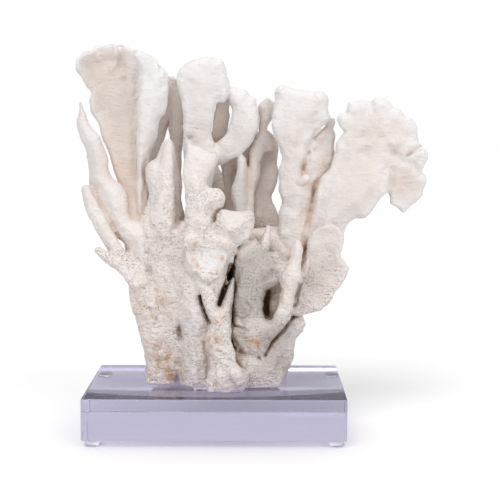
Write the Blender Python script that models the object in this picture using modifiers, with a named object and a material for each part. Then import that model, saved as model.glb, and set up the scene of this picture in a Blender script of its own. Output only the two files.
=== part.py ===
"""A branching coral on a clear block with four bumper feet.

The coral's blades are drawn as they look from the front, in millimetres: x to the right of the block's
middle, z above the block's top face. Each one has a depth of its own, y, which grows away from the front.
Drawing positions are spread along the lines of sight of an eye in front of the piece, so that a blade
keeps its outline from there at whatever depth it stands.
"""

from collections import namedtuple

import bmesh
import bpy
import numpy as np
from mathutils import Vector, noise

MM = 0.001

# The stand
BLOCK_WIDTH = 160.0
BLOCK_DEPTH = 100.0
BLOCK_THICK = 25.4
BLOCK_EDGE = 0.8
FOOT_RADIUS = 4.8
FOOT_HEIGHT = 4.0
FOOT_INSET = 6.2
GAP = 0.3
BLOCK_UNDERSIDE = FOOT_HEIGHT + GAP
BLOCK_TOP = BLOCK_UNDERSIDE + BLOCK_THICK

# The middle of the whole piece seen from above, measured from the block's middle
PIECE_MIDDLE_X = 23.0
PIECE_MIDDLE_Y = 1.8

# What the coral and the stand look like
CREAM = (0.87, 0.84, 0.80)
CHALK = (0.84, 0.81, 0.78)
SAND = (0.80, 0.73, 0.66)
GREY_STONE = (0.76, 0.74, 0.72)
CLEAR_ACRYLIC = (0.93, 0.93, 0.97)
CLEAR_RUBBER = (0.90, 0.90, 0.92)

# The eye that the drawing is made from, in drawing millimetres
EYE_X = 22.4
EYE_Z = 171.3
EYE_DISTANCE = 762.0

# How finely the coral is modelled
SLAB_HALF = 4.0
SLAB_VOXEL = 2.2
FUSE_VOXEL = 1.5
SMOOTHING = 3
RING_SIDES = 12
STEPS_PER_SPAN = 4
WOBBLE_SIZE = 26.0
WOBBLE_DEPTH = 1.8
JOINT_GAP = 0.9

# A flat growth: its outline from the front, its depth at foot and tip, how much further back its right
# side stands than its left, how far its rim and its sides stand forward of its middle, its half thickness
# at foot and tip, and its rim's radius.
Blade = namedtuple("Blade", "outline y turn cup bow half lip", defaults=(0.0, 0.0, 0.0, (5.0, 3.5), 3.0))

# A round growth: stations from root to tip, each x, z, y, half width and half depth.
Finger = namedtuple("Finger", "stations")

TRUNK = (
    Blade(outline=((-45, -9), (-26, -9), (-8, -9), (-8, 10), (-9, 27), (-12, 45), (-13, 56), (-16, 66),
                   (-20, 76), (-21, 88), (-20, 98), (-26, 104), (-38, 106), (-50, 104), (-56.5, 98),
                   (-58.5, 88), (-57, 78), (-53.5, 64), (-51.5, 52), (-52, 44), (-50.5, 35), (-47.5, 26),
                   (-45.3, 18), (-45.3, 9)),
          y=(5, -1), cup=-5, half=(13, 8), lip=6),
    Blade(outline=((-14, -9), (12, -9), (40, -9), (44, 3), (46.5, 10), (49, 18), (50.5, 26), (54, 33),
                   (56, 38), (54, 45), (56, 56), (60, 68), (63, 80), (60, 92), (52, 98), (40, 100),
                   (24, 98), (8, 99), (-8, 100), (-18, 92), (-16, 70), (-14, 50), (-12, 20)),
          y=(4, 2), cup=-4, half=(12, 8), lip=6),
    Finger(((-35, -8, -2, 10, 7), (-37, 15, -3, 9, 7), (-42, 38, -4, 9, 7), (-47, 58, -4, 9, 6),
            (-51, 74, -4, 6, 5))),
    Finger(((-17, -10, -3, 8, 8), (-17, 12, -4, 8, 8), (-22, 38, -5, 9, 8), (-28, 62, -6, 12, 7),
            (-34, 84, -7, 10, 6))),
    Blade(outline=((-22, -9), (-7, -9), (-5.5, 0), (-5, 10), (-6.5, 20), (-8, 30), (-8, 42), (-10, 56),
                   (-14, 70), (-26, 76), (-30, 60), (-27, 42), (-23.5, 30), (-23, 10)),
          y=(-11, -12), turn=-6, cup=-3, half=(9, 8), lip=4.5),
    Blade(outline=((-15, -9), (4, -9), (8, 4), (7, 20), (4, 34), (0, 46), (-6, 52), (-13, 46), (-16, 30),
                   (-16, 8)), y=(-13, -13), turn=-3, half=(6, 6), lip=4),
    Blade(outline=((-23, 30), (-15, 27), (-8, 29), (-4, 38), (-2, 52), (0, 66), (3, 82), (2, 96), (-10, 103),
                   (-22, 103), (-30, 96), (-33, 80), (-31, 62), (-28, 44)),
          y=(-15, -13), turn=-13, cup=-3, half=(9, 8), lip=6),
    Finger(((30, -10, -3, 9, 8), (30, 8, -4, 9, 8), (26, 26, -5, 8, 6), (22, 44, -4, 6, 5))),
    Blade(outline=((10, -9), (22, -11), (33, -9), (40, -4), (41, 6), (37, 15), (30, 21), (20, 25), (12, 24),
                   (9, 12)), y=(-15, -13), cup=-2, half=(7, 6), lip=4.5),
    Blade(outline=((24, -8), (32, -9), (40, -5), (43, 3), (46, 9), (48.5, 14), (49.5, 22), (51, 29),
                   (54, 33), (57.5, 37), (55, 40), (50, 42), (42, 38), (34, 32), (28, 20), (24, 6)),
          y=(-13, -9), turn=6, half=(7, 5), lip=3.5),
    Finger(((-24, -4, 24, 12, 10), (-26, 30, 25, 12, 10), (-32, 60, 26, 9, 8), (-36, 84, 26, 6, 6))),
    Finger(((22, -4, 24, 14, 10), (24, 30, 25, 13, 10), (30, 58, 25, 10, 8), (36, 80, 24, 6, 6))),
)

FRONT_STEM = (
    Blade(outline=((-5, -9), (3, -11), (11, -9), (18, -7), (20.5, 0), (20, 6), (16, 9.5), (13, 13),
                   (12, 19), (9, 26), (7, 33), (8, 38), (5, 45), (2, 50), (4, 58), (7, 66), (9.5, 73),
                   (11, 80), (13, 88), (12.5, 94), (8, 98), (0, 99), (-10, 98), (-19, 97), (-23, 90),
                   (-21, 80), (-18, 71), (-14, 62), (-11, 55), (-8.5, 48), (-5.5, 40), (-5, 35), (-8, 26),
                   (-5, 17), (-4, 9), (-6.5, 2)),
          y=(-31, -19), turn=3, cup=-2, half=(7, 6), lip=4),
    Finger(((5, 0, -25, 9, 11), (3, 18, -20, 7, 11), (1, 34, -17, 7, 9), (-2, 52, -13, 9, 8),
            (-5, 74, -12, 12, 8), (-5, 92, -12, 11, 7))),
    Finger(((5, 31, -23, 4.4, 5), (5, 41, -22, 4.6, 4.5), (6.2, 50, -21, 4.2, 4), (8.6, 59, -20, 2.5, 4),
            (10.4, 66.5, -19, 1.2, 2.6))),
    Finger(((13, 2, -30, 6.5, 7), (12, 5, -34, 6, 5))),
    Finger(((-13, 86, -21, 4, 4), (-3, 90, -23, 4, 4), (7, 86, -22, 4, 4))),
    Finger(((-17, 74, -20, 3.5, 4), (-8, 66, -22, 3.5, 4), (2, 72, -22, 4, 4))),
)

FRONT_BLADE = (
    Blade(outline=((-19, 152), (-15, 151.5), (-10, 150), (-5, 147), (0.5, 145.5), (1, 142), (-1.5, 137),
                   (-4.5, 131.5), (-6, 126), (-3, 124.3), (1.5, 124.4), (4.5, 121.5), (6, 117), (4, 112),
                   (0, 109.5), (-1.5, 104), (-1, 96), (-4, 90), (-16, 90), (-20, 96), (-18.5, 104),
                   (-19.5, 112), (-20, 121), (-21.3, 130), (-21.5, 138), (-19.5, 144)),
          y=(-18, -18), turn=3, cup=-2, half=(7, 4.2), lip=3.4),
    Finger(((-11, 92, -14, 9, 9), (-12, 106, -15, 8, 8), (-14, 122, -17, 6, 6), (-14, 136, -18, 5, 4.8))),
)

FRONT_KNOB = (
    Blade(outline=((-0.5, 104), (1, 108), (4, 110.5), (9, 109.5), (15, 109.2), (22, 109.2), (24, 107),
                   (24, 101), (23.3, 96), (21, 91.5), (16, 88.5), (11, 86.5), (4, 88), (-1, 95)),
          y=(-21, -21), turn=2, cup=-3, half=(8, 8), lip=4.2),
    Finger(((3, 92, -14, 7, 8), (11, 98, -15, 10, 9))),
)

LEFT_CONE = (
    Blade(outline=((-49, 104), (-45, 111), (-43, 117), (-43, 123), (-44.5, 129), (-45, 134), (-44, 138),
                   (-41, 141), (-38, 142.5), (-36.5, 146), (-35, 150), (-33, 153.8), (-30, 155),
                   (-27.5, 154), (-26, 149), (-24.5, 140), (-22.5, 132), (-21.5, 125), (-22, 116),
                   (-20, 108), (-19, 100), (-20, 88), (-24, 74), (-32, 66), (-42, 70), (-50, 84),
                   (-52, 96)),
          y=(-2, -13), turn=2, cup=-4, half=(7, 4.5), lip=3.5),
    Finger(((-33, 88, -5, 9, 7), (-34, 104, -8, 8.5, 7), (-33, 122, -11, 7, 6.5), (-31, 140, -13, 4.5, 5),
            (-30, 150, -13, 3, 3.4))),
)

LEFT_EDGE_BLADE = (
    Blade(outline=((-86, 179.5), (-84, 176), (-82, 170), (-79.5, 164.5), (-77, 160), (-73, 156),
                   (-70.5, 150), (-68.5, 142), (-67.5, 134), (-65, 129.5), (-60, 126), (-57, 121),
                   (-55.5, 112), (-54.5, 105), (-48, 103), (-40, 99), (-38, 84), (-44, 70), (-54, 70),
                   (-57, 80), (-58, 87), (-62, 91), (-65, 96), (-69, 103), (-73, 110), (-77, 119),
                   (-80.5, 127), (-81, 136), (-82, 146), (-85, 153), (-87.5, 161), (-88.7, 166), (-87, 169),
                   (-86.5, 174)),
          y=(-2, -9), turn=-7, cup=-3, half=(5.5, 3.6), lip=3.0),
)

LEFT_FINGERS = (
    Finger(((-47, 66, -4, 5, 6), (-56, 74, -5, 5, 5.5), (-63, 83, -6, 4.6, 5), (-69, 93, -6, 4.7, 4.8),
            (-74, 103, -5, 4.8, 4.6), (-79, 112, -4, 4.5, 4.4), (-82, 122, -3, 3.6, 3.8))),
    Finger(((-49, 61, -8, 4.5, 5), (-57, 69.5, -10, 3.6, 4.2), (-65, 76.5, -11, 3.2, 3.6),
            (-71, 81, -12, 3.0, 3.2), (-75.5, 84.5, -13, 2.4, 2.6))),
)

LEFT_FAN = (
    Blade(outline=((-56, 92), (-57, 105), (-60, 118), (-63, 130), (-67, 142), (-71, 154), (-75, 165),
                   (-79, 172), (-79.7, 180), (-78.5, 184.5), (-82, 187), (-84, 191), (-86, 195),
                   (-88.3, 199), (-88, 203.5), (-86, 206.5), (-83, 209), (-79, 210), (-75, 212.7),
                   (-70, 213.5), (-65, 214.3), (-61, 212.7), (-58, 213.3), (-55, 211.5), (-51, 211.3),
                   (-48, 209.7), (-43, 208), (-38, 205.3), (-36, 202), (-36, 190), (-38, 175), (-40, 160),
                   (-42, 145), (-43, 130), (-43, 112), (-42, 94), (-48, 86)),
          y=(4, 12), turn=-5, cup=4, bow=14, half=(5, 3.2), lip=3.4),
    Blade(outline=((-49, 96), (-50.5, 108), (-51, 120), (-51, 130), (-51, 140), (-51.5, 150), (-50.5, 158),
                   (-50, 166), (-49.8, 174), (-49.3, 181), (-48.5, 187), (-47.5, 194), (-49, 201),
                   (-52, 207), (-49, 209.5), (-43, 208), (-39, 204.5), (-36, 201), (-33, 198.5),
                   (-30.5, 195), (-29.8, 190), (-30, 184), (-30.7, 178), (-31.3, 173), (-33, 169),
                   (-36, 166), (-36.5, 160), (-37.5, 155), (-40, 150), (-42, 144), (-44.5, 139), (-45, 133),
                   (-44, 127), (-45, 120), (-45, 110), (-43, 96)),
          y=(0, -9), turn=8, cup=-3, half=(4.5, 3.4), lip=3.2),
)

REAR_LEFT_BLADE = (
    Finger(((-30, 78, 20, 7, 6), (-28, 102, 19, 5.5, 5), (-26.5, 126, 18, 4.6, 4.4), (-25.2, 148, 17, 4, 4),
            (-25.4, 170, 16, 4.4, 3.8), (-27, 184, 16, 4.6, 3.6), (-27.6, 191, 16, 3.6, 3.4))),
    Finger(((-38, 126, 22, 4, 4), (-39, 142, 22, 3.6, 3.6), (-35.5, 154, 21, 3.2, 3.4),
            (-32.6, 165, 20, 3.2, 3.4), (-29, 174, 18, 3.4, 3.4))),
)

CENTRE_FAN = (
    Blade(outline=((-25, 195), (-23, 198.5), (-20, 200.7), (-16, 203.7), (-10, 205.8), (-6, 205.4),
                   (-3, 206.2), (0, 205), (3, 205.2), (5, 202), (5.8, 198), (6.2, 195), (7.8, 192),
                   (8.7, 188), (8, 184), (6.8, 180.5), (5.2, 177.5), (3.6, 177), (2, 178.3), (0.3, 180),
                   (-1, 172), (-2.5, 164), (-3.4, 158), (-1, 153), (0.5, 147), (0, 138), (-3, 124),
                   (-5, 108), (-12, 98), (-18, 108), (-20, 124), (-20.8, 140), (-20.8, 155), (-21.2, 166),
                   (-21.6, 175), (-23.6, 184), (-25.4, 190)),
          y=(6, -3), turn=3, cup=-3, half=(5.5, 4.2), lip=3.8),
    Finger(((-10, 90, 8, 7, 7), (-10, 108, 8, 6, 6), (-10, 126, 6, 5, 5))),
)

CURLED_LEAF = (
    Blade(outline=((8.5, 186), (11, 187.2), (13, 186.6), (14.8, 185), (17, 186.3), (19, 185), (21, 182.3),
                   (23, 181.7), (25, 179.7), (25.6, 176), (26.7, 172), (27, 165), (26, 160), (24.3, 155.5),
                   (21.5, 151), (17, 147), (12, 143), (8, 141), (4.5, 139.3), (1, 138), (-3, 141),
                   (-2, 148), (0.5, 153.5), (5, 157), (7.3, 162), (8.7, 167), (9.5, 172), (8, 177),
                   (7, 182)),
          y=(4, 2), turn=-4, cup=-4, half=(4.6, 3.4), lip=3.2),
)

CENTRE_SLATS = (
    Blade(outline=((13.6, 144), (15.5, 145.6), (17.8, 143.5), (19.4, 138), (19.8, 130), (19.8, 120),
                   (19, 110), (18, 96), (13, 88), (10, 96), (10.5, 112), (9.2, 122), (11, 128),
                   (12.4, 135)),
          y=(6, 6), turn=4, cup=-2, half=(4.2, 3.2), lip=2.8),
    Blade(outline=((21.5, 145.6), (24.5, 146.2), (27.2, 142.5), (28.4, 136), (28, 131), (25.8, 126),
                   (24.6, 120), (24, 110), (23, 96), (18, 86), (16, 96), (19.5, 112), (20.4, 124),
                   (20.4, 136)),
          y=(9, 11), turn=5, cup=-2, half=(4.2, 3.2), lip=2.8),
)

REAR_PANEL = (
    Blade(outline=((3, 141), (8, 146), (14, 150), (20, 154), (24, 158), (29, 160), (33, 160), (37, 155),
                   (39, 148), (38, 140), (38.7, 132), (37, 126.5), (34.3, 120.5), (36, 112), (39, 108),
                   (40, 98), (38, 84), (32, 66), (20, 62), (8, 68), (4, 84), (4.5, 100), (5.2, 118),
                   (4.2, 130)),
          y=(20, 25), turn=4, cup=2, half=(5.5, 3.4), lip=3.0),
    Blade(outline=((0.3, 179), (4, 184), (8.5, 184), (8, 172), (7.6, 164), (8, 154), (12, 146), (10, 136),
                   (4, 138), (-1, 146), (-4, 156), (-2.4, 166)),
          y=(23, 14), turn=2, cup=2, half=(4, 3), lip=2.6),
)

REAR_CREST = (
    Blade(outline=((26.5, 175), (28.4, 178), (30.2, 179), (31.3, 181.2), (32.8, 181.2), (34, 178.6),
                   (36.4, 178), (37, 172), (34.2, 166), (32.6, 161), (34.5, 155.5), (36, 150.5),
                   (33.5, 147.2), (31, 150), (29, 142), (24, 136), (20, 144), (23, 152), (26, 158),
                   (26.5, 166)),
          y=(15, 8), turn=3, cup=-1, half=(3.6, 3.0), lip=2.6),
)

RIGHT_PANEL = (
    Blade(outline=((12.5, 86), (17, 89), (21, 91.5), (24.5, 92.3), (27, 89), (30, 85.5), (34, 83.5),
                   (38, 84), (42, 81.5), (46, 79), (48, 72), (46.5, 66), (41, 63.5), (36.5, 61.5),
                   (33.5, 60), (31.4, 55), (30.6, 48), (31.5, 42.5), (36, 40), (41, 37), (39, 31), (35, 25),
                   (31, 15.5), (26, 12), (16, 14), (12, 21), (9.5, 29), (9, 35), (10.5, 42), (10, 51),
                   (12, 60), (10.5, 68), (10.5, 74), (11.5, 81)),
          y=(-17, -15), turn=4, cup=-4, half=(6, 4.4), lip=3.6),
    Finger(((27, 80, -13, 4.5, 5), (31, 90, -12, 3, 3.5), (32.8, 98.5, -11, 1.8, 2.2))),
    Finger(((22, 20, -11, 8, 6), (20, 45, -10, 9, 6), (24, 68, -10, 10, 6))),
    Finger(((13, 31, -16, 4.4, 4), (19, 32.5, -18, 4, 4), (25, 30, -16, 4, 4))),
)

RIGHT_ARCH = (
    Blade(outline=((33, 26), (38, 29), (42.5, 33), (46, 38), (48, 42), (47.6, 46), (50, 50), (52, 57),
                   (53.4, 61), (55.2, 65), (55, 69), (54, 73), (54.4, 79), (55, 84), (54, 88), (52, 91.3),
                   (49.6, 91), (47.8, 87.5), (47, 82), (45.5, 77), (42, 72), (40, 66), (40.6, 60),
                   (39.5, 53), (38.3, 47), (36, 42), (33, 36)),
          y=(-19, -19), turn=-2, cup=-3, half=(6, 4.2), lip=3.2),
    Finger(((40, 40, -15, 5, 6), (43.5, 52, -15, 3.6, 6), (45.5, 64, -15, 4.4, 6), (49, 76, -16, 4.2, 5))),
    Finger(((54, 69, -11, 3, 3.4), (56.6, 74.5, -12, 2.6, 3), (58, 78.6, -12, 1.8, 2.2))),
)

RIGHT_CENTRE_FAN = (
    Blade(outline=((36.2, 178), (36.6, 184.5), (38, 188), (41, 189), (44, 188), (46, 187), (50, 186.7),
                   (55, 185.2), (58, 185.4), (60, 184.5), (62, 185.2), (66, 185.2), (69, 183), (70.4, 180),
                   (70, 175), (71, 170), (71.6, 166.4), (69, 164), (65, 161), (61, 158.6), (59.6, 155),
                   (58, 151), (56.8, 148.3), (58.5, 146), (59.6, 143), (57.5, 139.6), (54.6, 137),
                   (54, 134), (57.5, 131), (61.5, 127), (61.5, 118), (60, 106), (58, 94), (50, 82),
                   (40, 84), (38.5, 96), (39.6, 108), (40.6, 115), (39.2, 124), (38.8, 134), (40.3, 141),
                   (40.6, 146), (38.4, 151.5), (36.2, 156), (34.8, 162), (35.4, 170)),
          y=(0, -6), turn=3, cup=-3, half=(7, 4.2), lip=3.8),
    Finger(((49, 86, 2, 9, 8), (49, 104, 2, 9, 7.5), (48, 124, 0, 7, 6), (47, 146, -2, 6, 5))),
    Finger(((53, 128, -5, 3, 3.4), (56.4, 130, -7, 2.6, 2.8))),
)

RIGHT_REAR_BLADE = (
    Blade(outline=((72.4, 169), (75.2, 165.2), (73, 162), (74.7, 158.5), (74, 152), (74.4, 146),
                   (74.8, 138), (76, 128), (77, 114), (72, 96), (62, 84), (54, 92), (53, 108), (53, 122),
                   (53.4, 134), (55, 143), (56.4, 150), (60.5, 156), (65, 160), (69, 163.4), (70.8, 167)),
          y=(6, 6), turn=3, cup=2, half=(6, 3.8), lip=3.2),
)

RIGHT_FAN = (
    Blade(outline=((61, 112), (62.5, 122), (66, 131), (71.5, 137.5), (74.4, 146), (75, 152), (77, 155),
                   (80, 158.6), (79.4, 161), (77, 163), (76, 166.5), (76.6, 170), (78.6, 171.5),
                   (81.6, 171), (82, 175), (83, 178.7), (86.5, 178.4), (90, 179.8), (95, 178.7),
                   (97, 176.8), (98, 179.6), (101, 180.5), (105, 180.3), (108, 178), (111, 175),
                   (115, 173.7), (119, 169.2), (122, 168.4), (125, 165), (126.7, 161), (126.5, 156),
                   (127.5, 152), (125, 147), (119, 142), (112.5, 138), (109.7, 133), (109.5, 127),
                   (108, 122), (105.5, 119.3), (103, 117), (100.5, 113.5), (98, 109), (95.5, 105.6),
                   (92.5, 104.5), (88, 105), (85, 103), (82, 99.5), (80.5, 95), (80, 88), (72, 84),
                   (62, 84), (56, 92), (59, 102)),
          y=(-1, -8), turn=6, cup=-2, half=(7, 4.4), lip=3.6),
    Blade(outline=((104, 142), (112, 150), (120, 153), (127, 153), (131, 149.5), (133.2, 147), (133.2, 142),
                   (131, 138), (128.6, 133.2), (132, 131), (133, 128), (131, 124), (130, 119), (127, 116.6),
                   (124, 114), (121, 110.4), (118.4, 107.6), (115, 111), (112, 113), (109.8, 114.6),
                   (109.4, 118.5), (106, 124), (103, 132)),
          y=(8, -4), turn=5, cup=1, half=(4, 3.6), lip=3.2),
    Finger(((68, 92, 2, 11, 8), (71, 110, 1, 10, 8), (80, 128, 0, 8, 6))),
    Finger(((124, 150, -2, 3, 3), (128, 148, -3, 3.4, 3), (130.5, 143, -2, 2.6, 2.6))),
    Finger(((90, 156, -6, 3.4, 2.6), (91, 157.5, -10, 2.4, 2))),
    Finger(((110, 151, -4, 4, 2.8), (111, 152, -8, 3, 2.2))),
)

RIGHT_CUP = (
    Blade(outline=((50, 52), (51, 62), (54, 74), (57, 84), (60, 96), (70, 101), (78, 99), (80.8, 94),
                   (80.6, 88), (79.3, 83.5), (78.4, 80.4), (81, 78), (83, 75.5), (84.7, 73), (83, 69),
                   (80, 64), (77, 59), (75, 54.4), (73, 51), (69.5, 48.5), (66, 46), (61, 44.2), (57, 43.2),
                   (52, 41), (46, 40), (44, 46)),
          y=(-2, -7), turn=-3, cup=4, half=(5.5, 4), lip=3.2),
    Finger(((46, 46, 0, 8, 8), (53, 58, 1, 9, 7), (60, 76, 1, 9, 6))),
)

BACK_LEFT_FAN = (
    Blade(outline=((-30, -9), (-42, -9), (-43, 20), (-46, 50), (-50, 76), (-55, 104), (-60, 124),
                   (-65.5, 140), (-68.5, 152), (-67, 162), (-62, 166), (-60, 172), (-55, 173), (-51, 168),
                   (-47, 173), (-42, 176), (-38.5, 170), (-36.5, 160), (-36, 146), (-37, 130), (-33, 108),
                   (-27, 86), (-24, 60), (-22, 30), (-22, -9)),
          y=(17, 44), turn=-10, cup=-5, half=(6, 3.8), lip=3.2),
    Finger(((-40, 62, 28, 6, 6), (-44, 78, 36, 5, 5), (-46, 92, 41, 4, 4), (-47, 104, 44, 2.8, 3))),
)

BACK_CENTRE_FAN = (
    Blade(outline=((4, -9), (-10, -9), (-12, 20), (-13, 50), (-14, 80), (-17, 100), (-19, 118), (-16.5, 131),
                   (-18, 141), (-13, 149), (-7, 151), (-2, 145), (3, 134), (8, 134), (11, 141), (12, 148),
                   (18, 151), (23, 147), (24, 138), (28, 130), (25, 112), (20, 90), (18, 60), (16, 30),
                   (15, -9)),
          y=(17, 46), turn=4, cup=-6, half=(6.5, 4), lip=3.4),
    Finger(((6, 50, 30, 6, 6), (8, 64, 38, 5, 5), (5, 78, 44, 4, 4), (2, 88, 46, 2.8, 3))),
)

BACK_RIGHT_FAN = (
    Blade(outline=((16, -9), (20, 20), (26, 50), (34, 72), (41, 96), (45, 118), (46, 134), (48, 146),
                   (52, 157), (58, 163), (64, 162), (68, 155), (66, 146), (68, 137), (74, 133), (80, 137),
                   (87, 136), (92, 131), (94, 125), (90, 117), (82, 110), (76, 106), (68, 92), (58, 72),
                   (48, 50), (41, 24), (36, -9)),
          y=(17, 42), turn=8, cup=-6, half=(6, 3.8), lip=3.2),
    Finger(((38, 46, 26, 6, 6), (44, 60, 33, 5, 5), (48, 74, 38, 4, 4), (50, 84, 40, 3, 3))),
)

# Each branch with its triangle budget and colour, in the order in which later ones give way to earlier ones
BRANCHES = (
    ("coral_trunk", TRUNK, 800, SAND),
    ("front_stem", FRONT_STEM, 470, CHALK),
    ("right_panel", RIGHT_PANEL, 360, GREY_STONE),
    ("left_cone_blade", LEFT_CONE, 280, CHALK),
    ("left_edge_blade", LEFT_EDGE_BLADE, 320, CHALK),
    ("left_fan", LEFT_FAN, 570, CREAM),
    ("left_fingers", LEFT_FINGERS, 260, CHALK),
    ("right_centre_fan", RIGHT_CENTRE_FAN, 460, CREAM),
    ("right_fan", RIGHT_FAN, 660, CREAM),
    ("right_rear_blade", RIGHT_REAR_BLADE, 150, SAND),
    ("right_cup", RIGHT_CUP, 260, CREAM),
    ("right_arch", RIGHT_ARCH, 230, CHALK),
    ("front_blade", FRONT_BLADE, 300, CHALK),
    ("front_knob", FRONT_KNOB, 190, CHALK),
    ("centre_fan", CENTRE_FAN, 360, CREAM),
    ("curled_leaf", CURLED_LEAF, 260, CREAM),
    ("centre_slats", CENTRE_SLATS, 220, GREY_STONE),
    ("rear_panel", REAR_PANEL, 260, SAND),
    ("rear_crest", REAR_CREST, 150, SAND),
    ("rear_left_blade", REAR_LEFT_BLADE, 200, SAND),
    ("back_left_fan", BACK_LEFT_FAN, 175, CREAM),
    ("back_centre_fan", BACK_CENTRE_FAN, 200, SAND),
    ("back_right_fan", BACK_RIGHT_FAN, 190, CREAM),
)


def clear_scene():
    for obj in list(bpy.data.objects):
        bpy.data.objects.remove(obj)


def principled(name, colour, roughness, transmission=0.0):
    material = bpy.data.materials.new(name)
    material.use_nodes = True
    shader = material.node_tree.nodes["Principled BSDF"]
    shader.inputs["Base Color"].default_value = (*colour, 1.0)
    shader.inputs["Roughness"].default_value = roughness
    shader.inputs["Transmission Weight"].default_value = transmission
    return material


def linked(name, mesh, collection):
    obj = bpy.data.objects.new(name, mesh)
    collection.objects.link(obj)
    return obj


def evaluated_mesh(obj):
    """A plain copy of what the object's modifiers or curve settings make of it."""
    bpy.context.view_layer.update()
    graph = bpy.context.evaluated_depsgraph_get()
    return bpy.data.meshes.new_from_object(obj.evaluated_get(graph))


def remeshed(mesh, voxel, smoothing=0):
    """The mesh's closed shells fused into one skin of even squares."""
    worker = linked("worker", mesh, bpy.context.scene.collection)
    fuse = worker.modifiers.new("fuse", "REMESH")
    fuse.mode = "VOXEL"
    fuse.voxel_size = voxel * MM
    if smoothing:
        smooth = worker.modifiers.new("smooth", "SMOOTH")
        smooth.factor = 0.5
        smooth.iterations = smoothing
    result = evaluated_mesh(worker)
    bpy.data.objects.remove(worker)
    return result


def points_of(mesh):
    """The mesh's points in drawing millimetres, one row each."""
    flat = np.empty(len(mesh.vertices) * 3, np.float32)
    mesh.vertices.foreach_get("co", flat)
    return flat.reshape(-1, 3).astype(float) / MM


def set_points(mesh, points):
    mesh.vertices.foreach_set("co", (points * MM).astype(np.float32).ravel())
    mesh.update()


def spread_from_eye(points):
    """Moves drawing positions to the depth that they stand at, along the eye's lines of sight."""
    scale = 1 + points[:, 1] / EYE_DISTANCE
    points[:, 0] = EYE_X + (points[:, 0] - EYE_X) * scale
    points[:, 2] = EYE_Z + (points[:, 2] - EYE_Z) * scale
    return points


def outline_curve(outline):
    """A filled slab with a smooth outline through the given points, standing in the drawing plane."""
    curve = bpy.data.curves.new("outline", "CURVE")
    curve.dimensions = "2D"
    curve.fill_mode = "BOTH"
    curve.extrude = SLAB_HALF * MM
    curve.resolution_u = STEPS_PER_SPAN
    spline = curve.splines.new("BEZIER")
    spline.bezier_points.add(len(outline) - 1)
    spline.use_cyclic_u = True
    for point, (x, z) in zip(spline.bezier_points, outline):
        point.co = (x * MM, z * MM, 0.0)
        point.handle_left_type = point.handle_right_type = "AUTO"
    return curve


def rim_distance(points, loop):
    """How far each point lies from the outline, in the drawing plane."""
    start = loop
    along = np.roll(loop, -1, axis=0) - start
    length2 = np.maximum((along**2).sum(axis=1), 1e-9)
    nearest = np.full(len(points), np.inf)
    for a, d, l2 in zip(start, along, length2):
        share = np.clip(((points - a) @ d) / l2, 0, 1)
        nearest = np.minimum(nearest, np.hypot(*(points - a - share[:, None] * d).T))
    return nearest


def wobble(points, seed):
    """A slow unevenness in depth, so that no blade is flat."""
    shift = Vector((seed * 7.3, seed * 3.1, seed * 5.7))
    swing = [noise.noise(Vector((x, 0.0, z)) / WOBBLE_SIZE + shift) for x, _, z in points]
    return np.array(swing) * WOBBLE_DEPTH


def blade_mesh(blade, seed):
    """A blade: its outline as a slab, given depth, dishing and a rounded rim."""
    guide = linked("guide", outline_curve(blade.outline), bpy.context.scene.collection)
    slab = evaluated_mesh(guide)
    bpy.data.objects.remove(guide)
    edge = bmesh.new()
    edge.from_mesh(slab)
    bmesh.ops.remove_doubles(edge, verts=edge.verts, dist=1e-6)
    edge.to_mesh(slab)
    edge.free()
    mesh = remeshed(slab, SLAB_VOXEL)
    points = points_of(mesh)
    flat = points[:, :2].copy()
    side = np.clip(points[:, 2] / SLAB_HALF, -1, 1)
    loop = np.array(blade.outline, float)
    low, high = loop.min(axis=0), loop.max(axis=0)
    across = (flat[:, 0] - (low[0] + high[0]) / 2) / ((high[0] - low[0]) / 2)
    up = np.clip((flat[:, 1] - low[1]) / (high[1] - low[1]), 0, 1)
    rim = rim_distance(flat, loop)
    half = blade.half[0] + (blade.half[1] - blade.half[0]) * up
    rounding = np.clip(rim / blade.lip, 0, 1)
    thick = blade.lip * np.sqrt(np.maximum(1 - (1 - rounding) ** 2, 0.06))
    inner = np.clip((rim - blade.lip) / (2 * blade.lip), 0, 1)
    thick += (half - blade.lip) * inner
    dish = np.clip(1 - rim / (4 * blade.lip), 0, 1) ** 2
    depth = blade.y[0] + (blade.y[1] - blade.y[0]) * up + blade.turn * across / 2
    depth -= blade.cup * dish + blade.bow * across**2 * up
    placed = np.column_stack((flat[:, 0], depth, flat[:, 1]))
    placed[:, 1] += wobble(placed, seed) + side * -thick
    set_points(mesh, spread_from_eye(placed))
    return mesh


def through(values, steps):
    """A smooth run of values through the given ones, with their ends kept."""
    rows = np.array(values, float)
    padded = np.vstack((2 * rows[0] - rows[1], rows, 2 * rows[-1] - rows[-2]))
    run = []
    for before, a, b, after in zip(padded, padded[1:], padded[2:], padded[3:]):
        for t in np.arange(steps) / steps:
            run.append(0.5 * (2 * a + (b - before) * t + (2 * before - 5 * a + 4 * b - after) * t**2
                              + (3 * a - before - 3 * b + after) * t**3))
    return np.array(run + [rows[-1]])


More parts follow.
